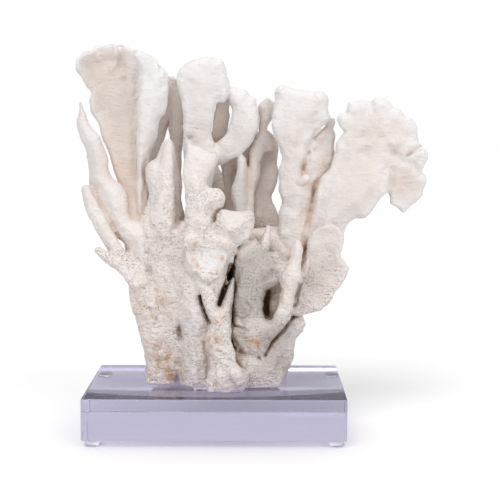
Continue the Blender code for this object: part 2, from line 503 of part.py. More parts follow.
def finger_mesh(finger, seed):
    """A finger: a ring drawn out from station to station, with round ends."""
    run = through(finger.stations, STEPS_PER_SPAN)
    path = run[:, :3]
    ahead = np.gradient(path, axis=0)
    ahead /= np.linalg.norm(ahead, axis=1)[:, None]
    across = np.column_stack((ahead[:, 1], -ahead[:, 0], np.zeros(len(run))))
    across /= np.maximum(np.linalg.norm(across, axis=1), 1e-6)[:, None]
    facing = np.cross(across, ahead)
    rings = [(path[i], across[i], facing[i], run[i, 3], run[i, 4]) for i in range(len(run))]
    for end, sign in ((0, -1), (-1, 1)):
        centre, wide, deep, half_width, half_depth = rings[end]
        caps = []
        for turn in np.radians((30, 55, 78)):
            shrink = np.cos(turn)
            reach = sign * np.sin(turn) * min(half_width, half_depth)
            caps.append((centre + ahead[end] * reach, wide, deep, half_width * shrink, half_depth * shrink))
        rings = caps[::-1] + rings if sign < 0 else rings + caps
    angles = np.arange(RING_SIDES) * 2 * np.pi / RING_SIDES
    shape = bmesh.new()
    ring = bmesh.ops.create_circle(shape, segments=RING_SIDES, radius=MM, cap_ends=True)["verts"]
    for number, (centre, wide, deep, half_width, half_depth) in enumerate(rings):
        if number:
            edges = {e for v in ring for e in v.link_edges if e.other_vert(v) in ring}
            made = bmesh.ops.extrude_edge_only(shape, edges=list(edges))["geom"]
            following = {}
            for vert in (g for g in made if isinstance(g, bmesh.types.BMVert)):
                behind = next(e.other_vert(vert) for e in vert.link_edges if e.other_vert(vert) in ring)
                following[behind] = vert
            ring = [following[v] for v in ring]
        for vert, angle in zip(ring, angles):
            spot = centre + np.cos(angle) * half_width * wide + np.sin(angle) * half_depth * deep
            vert.co = Vector((spot[0], spot[2], spot[1])) * MM
    shape.faces.new(ring)
    bmesh.ops.recalc_face_normals(shape, faces=shape.faces)
    mesh = bpy.data.meshes.new("finger")
    shape.to_mesh(mesh)
    shape.free()
    points = points_of(mesh)
    points[:, 1] += wobble(points, seed)
    set_points(mesh, spread_from_eye(points))
    return mesh


def largest_piece(mesh):
    """Keeps the largest of the mesh's separate shells."""
    shape = bmesh.new()
    shape.from_mesh(mesh)
    seen, shells = set(), []
    for first in shape.faces:
        if first in seen:
            continue
        shell, waiting = {first}, [first]
        while waiting:
            for edge in waiting.pop().edges:
                if edge.is_manifold:
                    fresh = set(edge.link_faces) - shell
                    shell |= fresh
                    waiting.extend(fresh)
        seen |= shell
        shells.append(shell)
    keep = max(shells, key=len)
    bmesh.ops.delete(shape, geom=[f for f in shape.faces if f not in keep], context="FACES")
    shape.to_mesh(mesh)
    shape.free()
    return mesh


def branch_mesh(growths, budget, seed):
    """All of a branch's blades and fingers grown into one solid, standing in the drawing's frame."""
    shape = bmesh.new()
    for number, growth in enumerate(growths):
        make = blade_mesh if isinstance(growth, Blade) else finger_mesh
        shape.from_mesh(make(growth, seed + 0.37 * number))
    joined = bpy.data.meshes.new("branch")
    shape.to_mesh(joined)
    shape.free()
    return thinned(largest_piece(remeshed(joined, FUSE_VOXEL, SMOOTHING)), budget)


def thinned(mesh, triangles):
    """The mesh with its even squares merged down to about this many triangles."""
    worker = linked("worker", mesh, bpy.context.scene.collection)
    thin = worker.modifiers.new("thin", "DECIMATE")
    thin.ratio = min(1.0, triangles / (2 * len(mesh.polygons)))
    result = evaluated_mesh(worker)
    bpy.data.objects.remove(worker)
    return result


def swollen(mesh, by):
    """A copy of the mesh with its skin moved out, to cut a neighbour back with clearance."""
    copy = mesh.copy()
    shape = bmesh.new()
    shape.from_mesh(copy)
    shape.normal_update()
    moved = [v.co + v.normal * min(v.calc_shell_factor(), 1.6) * by * MM for v in shape.verts]
    for vert, spot in zip(shape.verts, moved):
        vert.co = spot
    shape.to_mesh(copy)
    shape.free()
    return copy


def boxes_meet(a, b):
    low_a, high_a, low_b, high_b = a.min(axis=0), a.max(axis=0), b.min(axis=0), b.max(axis=0)
    return bool(((low_a <= high_b + 1) & (low_b <= high_a + 1)).all())


def cut_back(mesh, cutter_mesh):
    """The mesh less the cutter."""
    collection = bpy.context.scene.collection
    worker = linked("worker", mesh, collection)
    cutter = linked("cutter", cutter_mesh, collection)
    cut = worker.modifiers.new("cut", "BOOLEAN")
    cut.operation = "DIFFERENCE"
    cut.object = cutter
    cut.solver = "MANIFOLD"
    result = evaluated_mesh(worker)
    bpy.data.objects.remove(worker)
    bpy.data.objects.remove(cutter)
    return result


def floor_cutter():
    """A box that takes off whatever reaches below the coral's flat cut."""
    bpy.ops.mesh.primitive_cube_add(size=1)
    box = bpy.context.object
    mesh = box.data.copy()
    bpy.data.objects.remove(box)
    size, depth = 500 * MM, 80 * MM
    for vert in mesh.vertices:
        vert.co = (vert.co.x * size, vert.co.y * size, (vert.co.z - 0.5) * depth + GAP * MM)
    return mesh


def grow_coral(collection):
    """Every branch, each cut back from the ones before it."""
    cutters = []
    floor = floor_cutter()
    for number, (name, growths, budget, colour) in enumerate(BRANCHES):
        mesh = branch_mesh(growths, budget, 1.0 + number)
        if points_of(mesh)[:, 2].min() < GAP + 1:
            mesh = cut_back(mesh, floor.copy())
        for cutter in cutters:
            if boxes_meet(points_of(mesh), points_of(cutter)):
                mesh = cut_back(mesh, cutter.copy())
        mesh = largest_piece(mesh)
        cutters.append(swollen(mesh, JOINT_GAP))
        mesh.name = name
        mesh.materials.clear()
        mesh.materials.append(principled(name, colour, 0.85))
        obj = linked(name, mesh, collection)
        obj.location.z = BLOCK_TOP * MM


def make_block(collection, material):
    bpy.ops.mesh.primitive_cube_add(size=1, location=(0, 0, (BLOCK_UNDERSIDE + BLOCK_THICK / 2) * MM))
    block = bpy.context.object
    block.name = "clear_block"
    block.data.name = "clear_block"
    for vert in block.data.vertices:
        vert.co = (vert.co.x * BLOCK_WIDTH * MM, vert.co.y * BLOCK_DEPTH * MM, vert.co.z * BLOCK_THICK * MM)
    bevel = block.modifiers.new("eased edges", "BEVEL")
    bevel.width = BLOCK_EDGE * MM
    bevel.segments = 1
    block.data.materials.append(material)
    for old in block.users_collection:
        old.objects.unlink(block)
    collection.objects.link(block)


def foot_mesh():
    """A low dome, flat on top and at its foot, turned from a profile that runs down its outer side."""
    shape = bmesh.new()
    rim = ((0.0, 1.0), (0.96, 1.0), (1.0, 0.9), (0.98, 0.45), (0.85, 0.12), (0.64, 0.0), (0.0, 0.0))
    verts = [shape.verts.new((r * FOOT_RADIUS * MM, 0, h * FOOT_HEIGHT * MM)) for r, h in rim]
    for a, b in zip(verts, verts[1:]):
        shape.edges.new((a, b))
    mesh = bpy.data.meshes.new("bumper_foot")
    shape.to_mesh(mesh)
    shape.free()
    return mesh


def make_feet(collection, material):
    mesh = foot_mesh()
    mesh.materials.append(material)
    for side_y, row in ((-1, "front"), (1, "back")):
        for side_x, hand in ((-1, "left"), (1, "right")):
            foot = linked(f"bumper_foot_{row}_{hand}", mesh, collection)
            foot.location = (side_x * (BLOCK_WIDTH / 2 - FOOT_INSET) * MM,
                             side_y * (BLOCK_DEPTH / 2 - FOOT_INSET) * MM, 0.0)
            turned = foot.modifiers.new("turned", "SCREW")
            turned.steps = turned.render_steps = 12
            turned.use_merge_vertices = True
            turned.merge_threshold = 0.00001
            turned.use_smooth_shade = True


def set_on_origin(collection):
    """Moves the whole piece so that the middle of its outline from above is the origin."""
    for obj in collection.objects:
        obj.location.x -= PIECE_MIDDLE_X * MM
        obj.location.y -= PIECE_MIDDLE_Y * MM


def main():
    clear_scene()
    collection = bpy.data.collections.new("branching_coral")
    bpy.context.scene.collection.children.link(collection)
    make_block(collection, principled("clear_acrylic", CLEAR_ACRYLIC, 0.03, 1.0))
    make_feet(collection, principled("clear_rubber", CLEAR_RUBBER, 0.2, 0.8))
    grow_coral(collection)
    set_on_origin(collection)


main()
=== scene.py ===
"""A bleached branching coral on a clear acrylic block.

The coral's growths are drawn as they look from the front, in millimetres, and stand at depths of their own.
Each group of branches is one grown piece: its growths are fused, then carved and grained.
"""

import math
from collections import namedtuple

import bmesh
import bpy
import numpy as np
from mathutils import Matrix, Vector, kdtree, noise
from mathutils.bvhtree import BVHTree


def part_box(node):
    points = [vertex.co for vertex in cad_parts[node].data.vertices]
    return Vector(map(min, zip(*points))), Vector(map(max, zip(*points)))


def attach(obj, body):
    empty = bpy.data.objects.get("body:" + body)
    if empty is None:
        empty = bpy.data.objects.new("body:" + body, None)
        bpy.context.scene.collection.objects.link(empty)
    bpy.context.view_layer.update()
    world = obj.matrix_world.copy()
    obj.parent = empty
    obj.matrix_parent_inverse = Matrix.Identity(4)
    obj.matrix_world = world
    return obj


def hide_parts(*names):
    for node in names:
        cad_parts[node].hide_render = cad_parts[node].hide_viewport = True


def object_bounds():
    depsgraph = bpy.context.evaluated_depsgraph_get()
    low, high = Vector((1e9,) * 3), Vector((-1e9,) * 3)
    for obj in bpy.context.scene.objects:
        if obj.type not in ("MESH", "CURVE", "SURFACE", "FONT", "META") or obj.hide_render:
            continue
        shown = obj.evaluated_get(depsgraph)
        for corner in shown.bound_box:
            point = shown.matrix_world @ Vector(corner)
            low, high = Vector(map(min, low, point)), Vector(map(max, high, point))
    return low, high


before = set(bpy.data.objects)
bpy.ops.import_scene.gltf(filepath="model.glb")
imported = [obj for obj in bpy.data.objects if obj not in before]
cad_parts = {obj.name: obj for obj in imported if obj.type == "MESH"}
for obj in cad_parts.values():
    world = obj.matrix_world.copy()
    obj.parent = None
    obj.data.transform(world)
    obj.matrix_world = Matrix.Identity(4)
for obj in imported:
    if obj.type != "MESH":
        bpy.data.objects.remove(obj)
cad_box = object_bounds()
MM = 0.001

# The drawing's frame: the middle of the block's top face
block_low, block_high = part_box("clear_block")
MIDDLE = np.array([(block_low.x + block_high.x) / 2, (block_low.y + block_high.y) / 2, block_high.z]) / MM
REST_GAP = 0.3

# The eye of the photograph, in drawing millimetres
EYE_X = 22.4
EYE_Z = 171.3
EYE_DISTANCE = 762.0
EYE_PITCH = 4.6
EYE_SHIFT = -0.08
EYE_SHIFT_ACROSS = -0.0038
EYE_ROLL = 0.15
LENS = 1209 / 500 * 36

# Fineness of the coral
SLAB_HALF = 4.0
SLAB_VOXEL = 1.4
SKIN_VOXEL = 0.9
SMOOTHING = 3
RING_SIDES = 16
ROUND_END_TURNS = (25, 45, 62, 78)
STEPS_PER_SPAN = 6
CRUMB_FACES = 400

# A blade's edge: how blunt it is, and over how many rim radii it thickens and dishes
EDGE_BLUNTNESS = 0.06
THICKENING = 2
DISHING = 4
WOBBLE_SIZE = 26.0
WOBBLE_DEPTH = 1.8

# Where each noise is read, for each whole step of its seed
SEED_SHIFT = (7.3, 3.1, 5.7)
GROWTH_SEED_STEP = 0.37
PIECE_SEED_STEP = 4

# The skin's unevenness: the size of its lumps, and how far they stand out
SWELL_SIZE, SWELL_RISE = 9, 0.8
LUMP_SIZE, LUMP_RISE, ROUGH_LUMP_RISE = 3.4, 0.26, 0.34
RIDGE_SIZE, RIDGE_STRETCH, RIDGE_RISE = 9, 2.6, 1.0
GRAIN_SIZE, GRAIN_RISE = 1.7, 0.38
RIM_KNOB_SIZE, RIM_KNOB_RISE, RIM_KNOB_SINK = 6, 1.0, 0.2
BACK_RIB_SIZE, BACK_RIB_STRETCH, BACK_RIB_RISE = 7, 4.0, 1.3
BACK_KNOB_SIZE, BACK_KNOB_RISE = 11, 1.5
LINE_PITCH, LINE_RISE = 2.3, 0.1
PIT_SIZE, PIT_DEPTH = 2.4, 0.7
PIT_RADIUS, PITS_LEFT_OUT = 0.42, 0.45

# Where the knobbly rims end, and the depths over which the back's ribs begin
RIM_REACH = 9.0
RIM_FADE = (75, 40)
BACK_DEPTHS = (6, 18)

# How high the worn, porous coral reaches: on the blades in front, at the right and elsewhere
ROUGH_FRONT_TOP, ROUGH_RIGHT_TOP, ROUGH_TOP = 150, 92, 112
FRONT_BLADES_ACROSS, FRONT_BLADES_BACK = (-46, 3), -5
RIGHT_FROM = 42
ROUGH_EDGE_SIZE, ROUGH_EDGE_REACH = 14, 18
ROUGH_FADE_BELOW, ROUGH_FADE_ABOVE = 50, 6

# Which surfaces the grooves and dents cut, and from what depth on a cut gets painted shade
CUT_DEPTHS = (-60, 20)
CUT_FACING = (0.05, 0.45)
SHADE_FROM, SHADE_SPAN = 2, 4
DENT_SHARPNESS = 1.5
SMALL_DENT = 4

# How shut-in places are found
SKY_RAYS = 20
LOWEST_RAY = 0.12
RECESS_SAMPLES = 5000
NEAR_SAMPLES = 4
SAMPLE_SOFTNESS = 0.3
RAY_START = 0.8
RAY_REACH = 32.0

# The stand
BLOCK_EDGE = 0.5
BLOCK_EDGE_STEPS = 4
FOOT_SIDES = 48
SHARP_FROM = 40
FOOT_PROFILE = ((0.0, 0.0), (0.64, 0.0), (0.78, 0.04), (0.9, 0.17), (0.97, 0.38), (1.0, 0.62), (1.0, 0.9),
                (0.985, 0.975), (0.95, 1.0), (0.0, 1.0))

# Colours
TIP_WHITE = (0.775, 0.757, 0.752)
CREAM = (0.685, 0.635, 0.617)
CHALK = (0.725, 0.685, 0.668)
FLECK = (0.66, 0.575, 0.525)
RAW_WHITE = (0.98, 0.90, 0.86)
# Weathered grey, also the colour of painted shade on the crater's upper wall and the slats
WEATHERED_AND_SHADE_GREY = (0.56, 0.515, 0.485)
# Sandy tone, also the colour of the painted shade where the coral is shut in
SAND_AND_SHADE = (0.65, 0.51, 0.42)
# Painted shade deep in the gaps, pits and cuts
GAP_SHADE_BROWN = (0.20, 0.12, 0.075)
OCHRE = (0.60, 0.37, 0.22)
PORE_BROWN = (0.36, 0.26, 0.18)
SPECK_GREY = (0.36, 0.34, 0.30)
ACRYLIC_CLEAR = (0.985, 0.985, 1.0)
ACRYLIC_FAINT = (0.975, 0.972, 0.995)
ACRYLIC_DEPTH = (0.68, 0.66, 0.78)
ACRYLIC_SHADOW = (0.80, 0.78, 0.85)
RUBBER_CLEAR = (0.93, 0.93, 0.95)
RUBBER_CLOUDY = (0.84, 0.84, 0.87)
FLOOR_WHITE = (0.93, 0.93, 0.93)

# Finishes
CORAL_ROUGHNESS = 0.82
CORAL_SHEEN_LEVEL = 0.3
RELIEF_HEIGHT = 0.0024
RIPPLE_SCALE = (0.55, 0.55, 1.7)
ACRYLIC_INDEX = 1.49
ACRYLIC_DENSITY = 20.0
RUBBER_INDEX = 1.45
RUBBER_CLEARNESS = 0.85
FLOOR_ROUGHNESS = 0.7
FLOOR_RADIUS = 6.0

# Painted shade in the sandy colour on what stands further back: its strength, and the depths over which it
# comes in
BACK_SHADE = 0.6
BACK_SHADE_DEPTHS = (4, 13)
SPOT_DEPTHS = (0, 18)

# Light: the white around, and each lamp's degrees around from the front, height, width and strength
SKY_STRENGTH = 0.45
DEEP_RAY = 4.5
LAMPS = (("key", -28, 48, 35, 1.5), ("fill", 42, 24, 50, 1.1), ("top", 170, 76, 50, 0.8))

# A flat growth: its outline from the front, its depth at foot and tip, how much further back its right
# side stands than its left, how far its rim and its sides stand forward of its middle, its half thickness
# at foot and tip, and its rim's radius.
Blade = namedtuple("Blade", "outline y turn cup bow half lip", defaults=(0.0, 0.0, 0.0, (5.0, 3.5), 3.0))

# A round growth: stations from root to tip, each x, z, y, half width and half depth.
Finger = namedtuple("Finger", "stations")

TRUNK = (
    Blade(outline=((-45, -9), (-26, -9), (-8, -9), (-8, 10), (-9, 27), (-12, 45), (-13, 56), (-16, 66),
                   (-20, 76), (-21, 88), (-20, 98), (-26, 104), (-38, 106), (-50, 104), (-56.5, 98),
                   (-58.5, 88), (-57, 78), (-53.5, 64), (-51.5, 52), (-52, 44), (-50.5, 35), (-47.5, 26),
                   (-45.3, 18), (-45.3, 9)),
          y=(5, -1), cup=-5, half=(13, 8), lip=6),
    Blade(outline=((-14, -9), (12, -9), (40, -9), (44, 3), (46.5, 10), (49, 18), (50.5, 26), (54, 33),
                   (56, 38), (54, 45), (56, 56), (60, 68), (63, 80), (60, 92), (52, 98), (40, 100),
                   (24, 98), (8, 99), (-8, 100), (-18, 92), (-16, 70), (-14, 50), (-12, 20)),
          y=(4, 2), cup=-4, half=(12, 8), lip=6),
    Finger(((-35, -8, -2, 10, 7), (-37, 15, -3, 9, 7), (-42, 38, -4, 9, 7), (-47, 58, -4, 9, 6),
            (-51, 74, -4, 6, 5))),
    Finger(((-17, -10, -3, 8, 8), (-17, 12, -4, 8, 8), (-22, 38, -5, 9, 8), (-28, 62, -6, 12, 7),
            (-34, 84, -7, 10, 6))),
    Blade(outline=((-22, -9), (-7, -9), (-5.5, 0), (-5, 10), (-6.5, 20), (-8, 30), (-8, 42), (-10, 56),
                   (-14, 70), (-26, 76), (-30, 60), (-27, 42), (-23.5, 30), (-23, 10)),
          y=(-11, -12), turn=-6, cup=-3, half=(9, 8), lip=4.5),
    Blade(outline=((-15, -9), (4, -9), (8, 4), (7, 20), (4, 34), (0, 46), (-6, 52), (-13, 46), (-16, 30),
                   (-16, 8)), y=(-13, -13), turn=-3, half=(6, 6), lip=4),
    Blade(outline=((-23, 30), (-15, 27), (-8, 29), (-4, 38), (-2, 52), (0, 66), (3, 82), (2, 96), (-10, 103),
                   (-22, 103), (-30, 96), (-33, 80), (-31, 62), (-28, 44)),
          y=(-15, -13), turn=-13, cup=-3, half=(9, 8), lip=6),
    Finger(((30, -10, -3, 9, 8), (30, 8, -4, 9, 8), (26, 26, -5, 8, 6), (22, 44, -4, 6, 5))),
    Blade(outline=((10, -9), (22, -11), (33, -9), (40, -4), (41, 6), (37, 15), (30, 21), (20, 25), (12, 24),
                   (9, 12)), y=(-15, -13), cup=-2, half=(7, 6), lip=4.5),
    Blade(outline=((24, -8), (32, -9), (40, -5), (43, 3), (46, 9), (48.5, 14), (49.5, 22), (51, 29),
                   (54, 33), (57.5, 37), (55, 40), (50, 42), (42, 38), (34, 32), (28, 20), (24, 6)),
          y=(-13, -9), turn=6, half=(7, 5), lip=3.5),
    Finger(((-24, -4, 24, 12, 10), (-26, 30, 25, 12, 10), (-32, 60, 26, 9, 8), (-36, 84, 26, 6, 6))),
    Finger(((22, -4, 24, 14, 10), (24, 30, 25, 13, 10), (30, 58, 25, 10, 8), (36, 80, 24, 6, 6))),
)

FRONT_STEM = (
    Blade(outline=((-5, -9), (3, -11), (11, -9), (18, -7), (20.5, 0), (20, 6), (16, 9.5), (13, 13),
                   (12, 19), (9, 26), (7, 33), (8, 38), (5, 45), (2, 50), (4, 58), (7, 66), (9.5, 73),
                   (11, 80), (13, 88), (12.5, 94), (8, 98), (0, 99), (-10, 98), (-19, 97), (-23, 90),
                   (-21, 80), (-18, 71), (-14, 62), (-11, 55), (-8.5, 48), (-5.5, 40), (-5, 35), (-8, 26),
                   (-5, 17), (-4, 9), (-6.5, 2)),
          y=(-31, -19), turn=3, cup=-2, half=(7, 6), lip=4),
    Finger(((5, 0, -25, 9, 11), (3, 18, -20, 7, 11), (1, 34, -17, 7, 9), (-2, 52, -13, 9, 8),
            (-5, 74, -12, 12, 8), (-5, 92, -12, 11, 7))),
    Finger(((5, 31, -23, 4.4, 5), (5, 41, -22, 4.6, 4.5), (6.2, 50, -21, 4.2, 4), (8.6, 59, -20, 2.5, 4),
            (10.4, 66.5, -19, 1.2, 2.6))),
    Finger(((13, 2, -30, 6.5, 7), (12, 5, -34, 6, 5))),
    Finger(((-13, 86, -21, 4, 4), (-3, 90, -23, 4, 4), (7, 86, -22, 4, 4))),
    Finger(((-17, 74, -20, 3.5, 4), (-8, 66, -22, 3.5, 4), (2, 72, -22, 4, 4))),
)

FRONT_BLADE = (
    Blade(outline=((-19, 152), (-15, 151.5), (-10, 150), (-5, 147), (0.5, 145.5), (1, 142), (-1.5, 137),
                   (-4.5, 131.5), (-6, 126), (-3, 124.3), (1.5, 124.4), (4.5, 121.5), (6, 117), (4, 112),
                   (0, 109.5), (-1.5, 104), (-1, 96), (-4, 90), (-16, 90), (-20, 96), (-18.5, 104),
                   (-19.5, 112), (-20, 121), (-21.3, 130), (-21.5, 138), (-19.5, 144)),
          y=(-18, -18), turn=3, cup=-2, half=(7, 4.2), lip=3.4),
    Finger(((-11, 92, -14, 9, 9), (-12, 106, -15, 8, 8), (-14, 122, -17, 6, 6), (-14, 136, -18, 5, 4.8))),
)

FRONT_KNOB = (
    Blade(outline=((-0.5, 104), (1, 108), (4, 110.5), (9, 109.5), (15, 109.2), (22, 109.2), (24, 107),
                   (24, 101), (23.3, 96), (21, 91.5), (16, 88.5), (11, 86.5), (4, 88), (-1, 95)),
          y=(-21, -21), turn=2, cup=-3, half=(8, 8), lip=4.2),
    Finger(((3, 92, -14, 7, 8), (11, 98, -15, 10, 9))),
)

LEFT_CONE = (
    Blade(outline=((-49, 104), (-45, 111), (-43, 117), (-43, 123), (-44.5, 129), (-45, 134), (-44, 138),
                   (-41, 141), (-38, 142.5), (-36.5, 146), (-35, 150), (-33, 153.8), (-30, 155),
                   (-27.5, 154), (-26, 149), (-24.5, 140), (-22.5, 132), (-21.5, 125), (-22, 116),
                   (-20, 108), (-19, 100), (-20, 88), (-24, 74), (-32, 66), (-42, 70), (-50, 84),
                   (-52, 96)),
          y=(-2, -13), turn=2, cup=-4, half=(7, 4.5), lip=3.5),
    Finger(((-33, 88, -5, 9, 7), (-34, 104, -8, 8.5, 7), (-33, 122, -11, 7, 6.5), (-31, 140, -13, 4.5, 5),
            (-30, 150, -13, 3, 3.4))),
)

LEFT_EDGE_BLADE = (
    Blade(outline=((-86, 179.5), (-84, 176), (-82, 170), (-79.5, 164.5), (-77, 160), (-73, 156),
                   (-70.5, 150), (-68.5, 142), (-67.5, 134), (-65, 129.5), (-60, 126), (-57, 121),
                   (-55.5, 112), (-54.5, 105), (-48, 103), (-40, 99), (-38, 84), (-44, 70), (-54, 70),
                   (-57, 80), (-58, 87), (-62, 91), (-65, 96), (-69, 103), (-73, 110), (-77, 119),
                   (-80.5, 127), (-81, 136), (-82, 146), (-85, 153), (-87.5, 161), (-88.7, 166), (-87, 169),
                   (-86.5, 174)),
          y=(-2, -9), turn=-7, cup=-3, half=(5.5, 3.6), lip=3.0),
)

LEFT_FINGERS = (
    Finger(((-47, 66, -4, 5, 6), (-56, 74, -5, 5, 5.5), (-63, 83, -6, 4.6, 5), (-69, 93, -6, 4.7, 4.8),
            (-74, 103, -5, 4.8, 4.6), (-79, 112, -4, 4.5, 4.4), (-82, 122, -3, 3.6, 3.8))),
    Finger(((-49, 61, -8, 4.5, 5), (-57, 69.5, -10, 3.6, 4.2), (-65, 76.5, -11, 3.2, 3.6),
            (-71, 81, -12, 3.0, 3.2), (-75.5, 84.5, -13, 2.4, 2.6))),
)

LEFT_FAN = (
    Blade(outline=((-56, 92), (-57, 105), (-60, 118), (-63, 130), (-67, 142), (-71, 154), (-75, 165),
                   (-79, 172), (-79.7, 180), (-78.5, 184.5), (-82, 187), (-84, 191), (-86, 195),
                   (-88.3, 199), (-88, 203.5), (-86, 206.5), (-83, 209), (-79, 210), (-75, 212.7),
                   (-70, 213.5), (-65, 214.3), (-61, 212.7), (-58, 213.3), (-55, 211.5), (-51, 211.3),
                   (-48, 209.7), (-43, 208), (-38, 205.3), (-36, 202), (-36, 190), (-38, 175), (-40, 160),
                   (-42, 145), (-43, 130), (-43, 112), (-42, 94), (-48, 86)),
          y=(4, 12), turn=-5, cup=4, bow=14, half=(5, 3.2), lip=3.4),
    Blade(outline=((-49, 96), (-50.5, 108), (-51, 120), (-51, 130), (-51, 140), (-51.5, 150), (-50.5, 158),
                   (-50, 166), (-49.8, 174), (-49.3, 181), (-48.5, 187), (-47.5, 194), (-49, 201),
                   (-52, 207), (-49, 209.5), (-43, 208), (-39, 204.5), (-36, 201), (-33, 198.5),
                   (-30.5, 195), (-29.8, 190), (-30, 184), (-30.7, 178), (-31.3, 173), (-33, 169),
                   (-36, 166), (-36.5, 160), (-37.5, 155), (-40, 150), (-42, 144), (-44.5, 139), (-45, 133),
                   (-44, 127), (-45, 120), (-45, 110), (-43, 96)),
          y=(0, -9), turn=8, cup=-3, half=(4.5, 3.4), lip=3.2),
)

REAR_LEFT_BLADE = (
    Finger(((-30, 78, 20, 7, 6), (-28, 102, 19, 5.5, 5), (-26.5, 126, 18, 4.6, 4.4), (-25.2, 148, 17, 4, 4),
            (-25.4, 170, 16, 4.4, 3.8), (-27, 184, 16, 4.6, 3.6), (-27.6, 191, 16, 3.6, 3.4))),
    Finger(((-38, 126, 22, 4, 4), (-39, 142, 22, 3.6, 3.6), (-35.5, 154, 21, 3.2, 3.4),
            (-32.6, 165, 20, 3.2, 3.4), (-29, 174, 18, 3.4, 3.4))),
)

CENTRE_FAN = (
    Blade(outline=((-25, 195), (-23, 198.5), (-20, 200.7), (-16, 203.7), (-10, 205.8), (-6, 205.4),
                   (-3, 206.2), (0, 205), (3, 205.2), (5, 202), (5.8, 198), (6.2, 195), (7.8, 192),
                   (8.7, 188), (8, 184), (6.8, 180.5), (5.2, 177.5), (3.6, 177), (2, 178.3), (0.3, 180),
                   (-1, 172), (-2.5, 164), (-3.4, 158), (-1, 153), (0.5, 147), (0, 138), (-3, 124),
                   (-5, 108), (-12, 98), (-18, 108), (-20, 124), (-20.8, 140), (-20.8, 155), (-21.2, 166),
                   (-21.6, 175), (-23.6, 184), (-25.4, 190)),
          y=(6, -3), turn=3, cup=-3, half=(5.5, 4.2), lip=3.8),
    Finger(((-10, 90, 8, 7, 7), (-10, 108, 8, 6, 6), (-10, 126, 6, 5, 5))),
)

CURLED_LEAF = (
    Blade(outline=((8.5, 186), (11, 187.2), (13, 186.6), (14.8, 185), (17, 186.3), (19, 185), (21, 182.3),
                   (23, 181.7), (25, 179.7), (25.6, 176), (26.7, 172), (27, 165), (26, 160), (24.3, 155.5),
                   (21.5, 151), (17, 147), (12, 143), (8, 141), (4.5, 139.3), (1, 138), (-3, 141),
                   (-2, 148), (0.5, 153.5), (5, 157), (7.3, 162), (8.7, 167), (9.5, 172), (8, 177),
                   (7, 182)),
          y=(4, 2), turn=-4, cup=-4, half=(4.6, 3.4), lip=3.2),
)

CENTRE_SLATS = (
    Blade(outline=((13.6, 144), (15.5, 145.6), (17.8, 143.5), (19.4, 138), (19.8, 130), (19.8, 120),
                   (19, 110), (18, 96), (13, 88), (10, 96), (10.5, 112), (9.2, 122), (11, 128),
                   (12.4, 135)),
          y=(6, 6), turn=4, cup=-2, half=(4.2, 3.2), lip=2.8),
    Blade(outline=((21.5, 145.6), (24.5, 146.2), (27.2, 142.5), (28.4, 136), (28, 131), (25.8, 126),
                   (24.6, 120), (24, 110), (23, 96), (18, 86), (16, 96), (19.5, 112), (20.4, 124),
                   (20.4, 136)),
          y=(9, 11), turn=5, cup=-2, half=(4.2, 3.2), lip=2.8),
)

REAR_PANEL = (
    Blade(outline=((3, 141), (8, 146), (14, 150), (20, 154), (24, 158), (29, 160), (33, 160), (37, 155),
                   (39, 148), (38, 140), (38.7, 132), (37, 126.5), (34.3, 120.5), (36, 112), (39, 108),
                   (40, 98), (38, 84), (32, 66), (20, 62), (8, 68), (4, 84), (4.5, 100), (5.2, 118),
                   (4.2, 130)),
          y=(20, 25), turn=4, cup=2, half=(5.5, 3.4), lip=3.0),
    Blade(outline=((0.3, 179), (4, 184), (8.5, 184), (8, 172), (7.6, 164), (8, 154), (12, 146), (10, 136),
                   (4, 138), (-1, 146), (-4, 156), (-2.4, 166)),
          y=(23, 14), turn=2, cup=2, half=(4, 3), lip=2.6),
)

REAR_CREST = (
    Blade(outline=((26.5, 175), (28.4, 178), (30.2, 179), (31.3, 181.2), (32.8, 181.2), (34, 178.6),
                   (36.4, 178), (37, 172), (34.2, 166), (32.6, 161), (34.5, 155.5), (36, 150.5),
                   (33.5, 147.2), (31, 150), (29, 142), (24, 136), (20, 144), (23, 152), (26, 158),
                   (26.5, 166)),
          y=(15, 8), turn=3, cup=-1, half=(3.6, 3.0), lip=2.6),
)

RIGHT_PANEL = (
    Blade(outline=((12.5, 86), (17, 89), (21, 91.5), (24.5, 92.3), (27, 89), (30, 85.5), (34, 83.5),
                   (38, 84), (42, 81.5), (46, 79), (48, 72), (46.5, 66), (41, 63.5), (36.5, 61.5),
                   (33.5, 60), (31.4, 55), (30.6, 48), (31.5, 42.5), (36, 40), (41, 37), (39, 31), (35, 25),
                   (31, 15.5), (26, 12), (16, 14), (12, 21), (9.5, 29), (9, 35), (10.5, 42), (10, 51),
                   (12, 60), (10.5, 68), (10.5, 74), (11.5, 81)),
          y=(-17, -15), turn=4, cup=-4, half=(6, 4.4), lip=3.6),
    Finger(((27, 80, -13, 4.5, 5), (31, 90, -12, 3, 3.5), (32.8, 98.5, -11, 1.8, 2.2))),
    Finger(((22, 20, -11, 8, 6), (20, 45, -10, 9, 6), (24, 68, -10, 10, 6))),
    Finger(((13, 31, -16, 4.4, 4), (19, 32.5, -18, 4, 4), (25, 30, -16, 4, 4))),
)

RIGHT_ARCH = (
    Blade(outline=((33, 26), (38, 29), (42.5, 33), (46, 38), (48, 42), (47.6, 46), (50, 50), (52, 57),
                   (53.4, 61), (55.2, 65), (55, 69), (54, 73), (54.4, 79), (55, 84), (54, 88), (52, 91.3),
                   (49.6, 91), (47.8, 87.5), (47, 82), (45.5, 77), (42, 72), (40, 66), (40.6, 60),
                   (39.5, 53), (38.3, 47), (36, 42), (33, 36)),
          y=(-19, -19), turn=-2, cup=-3, half=(6, 4.2), lip=3.2),
    Finger(((40, 40, -15, 5, 6), (43.5, 52, -15, 3.6, 6), (45.5, 64, -15, 4.4, 6), (49, 76, -16, 4.2, 5))),
    Finger(((54, 69, -11, 3, 3.4), (56.6, 74.5, -12, 2.6, 3), (58, 78.6, -12, 1.8, 2.2))),
)

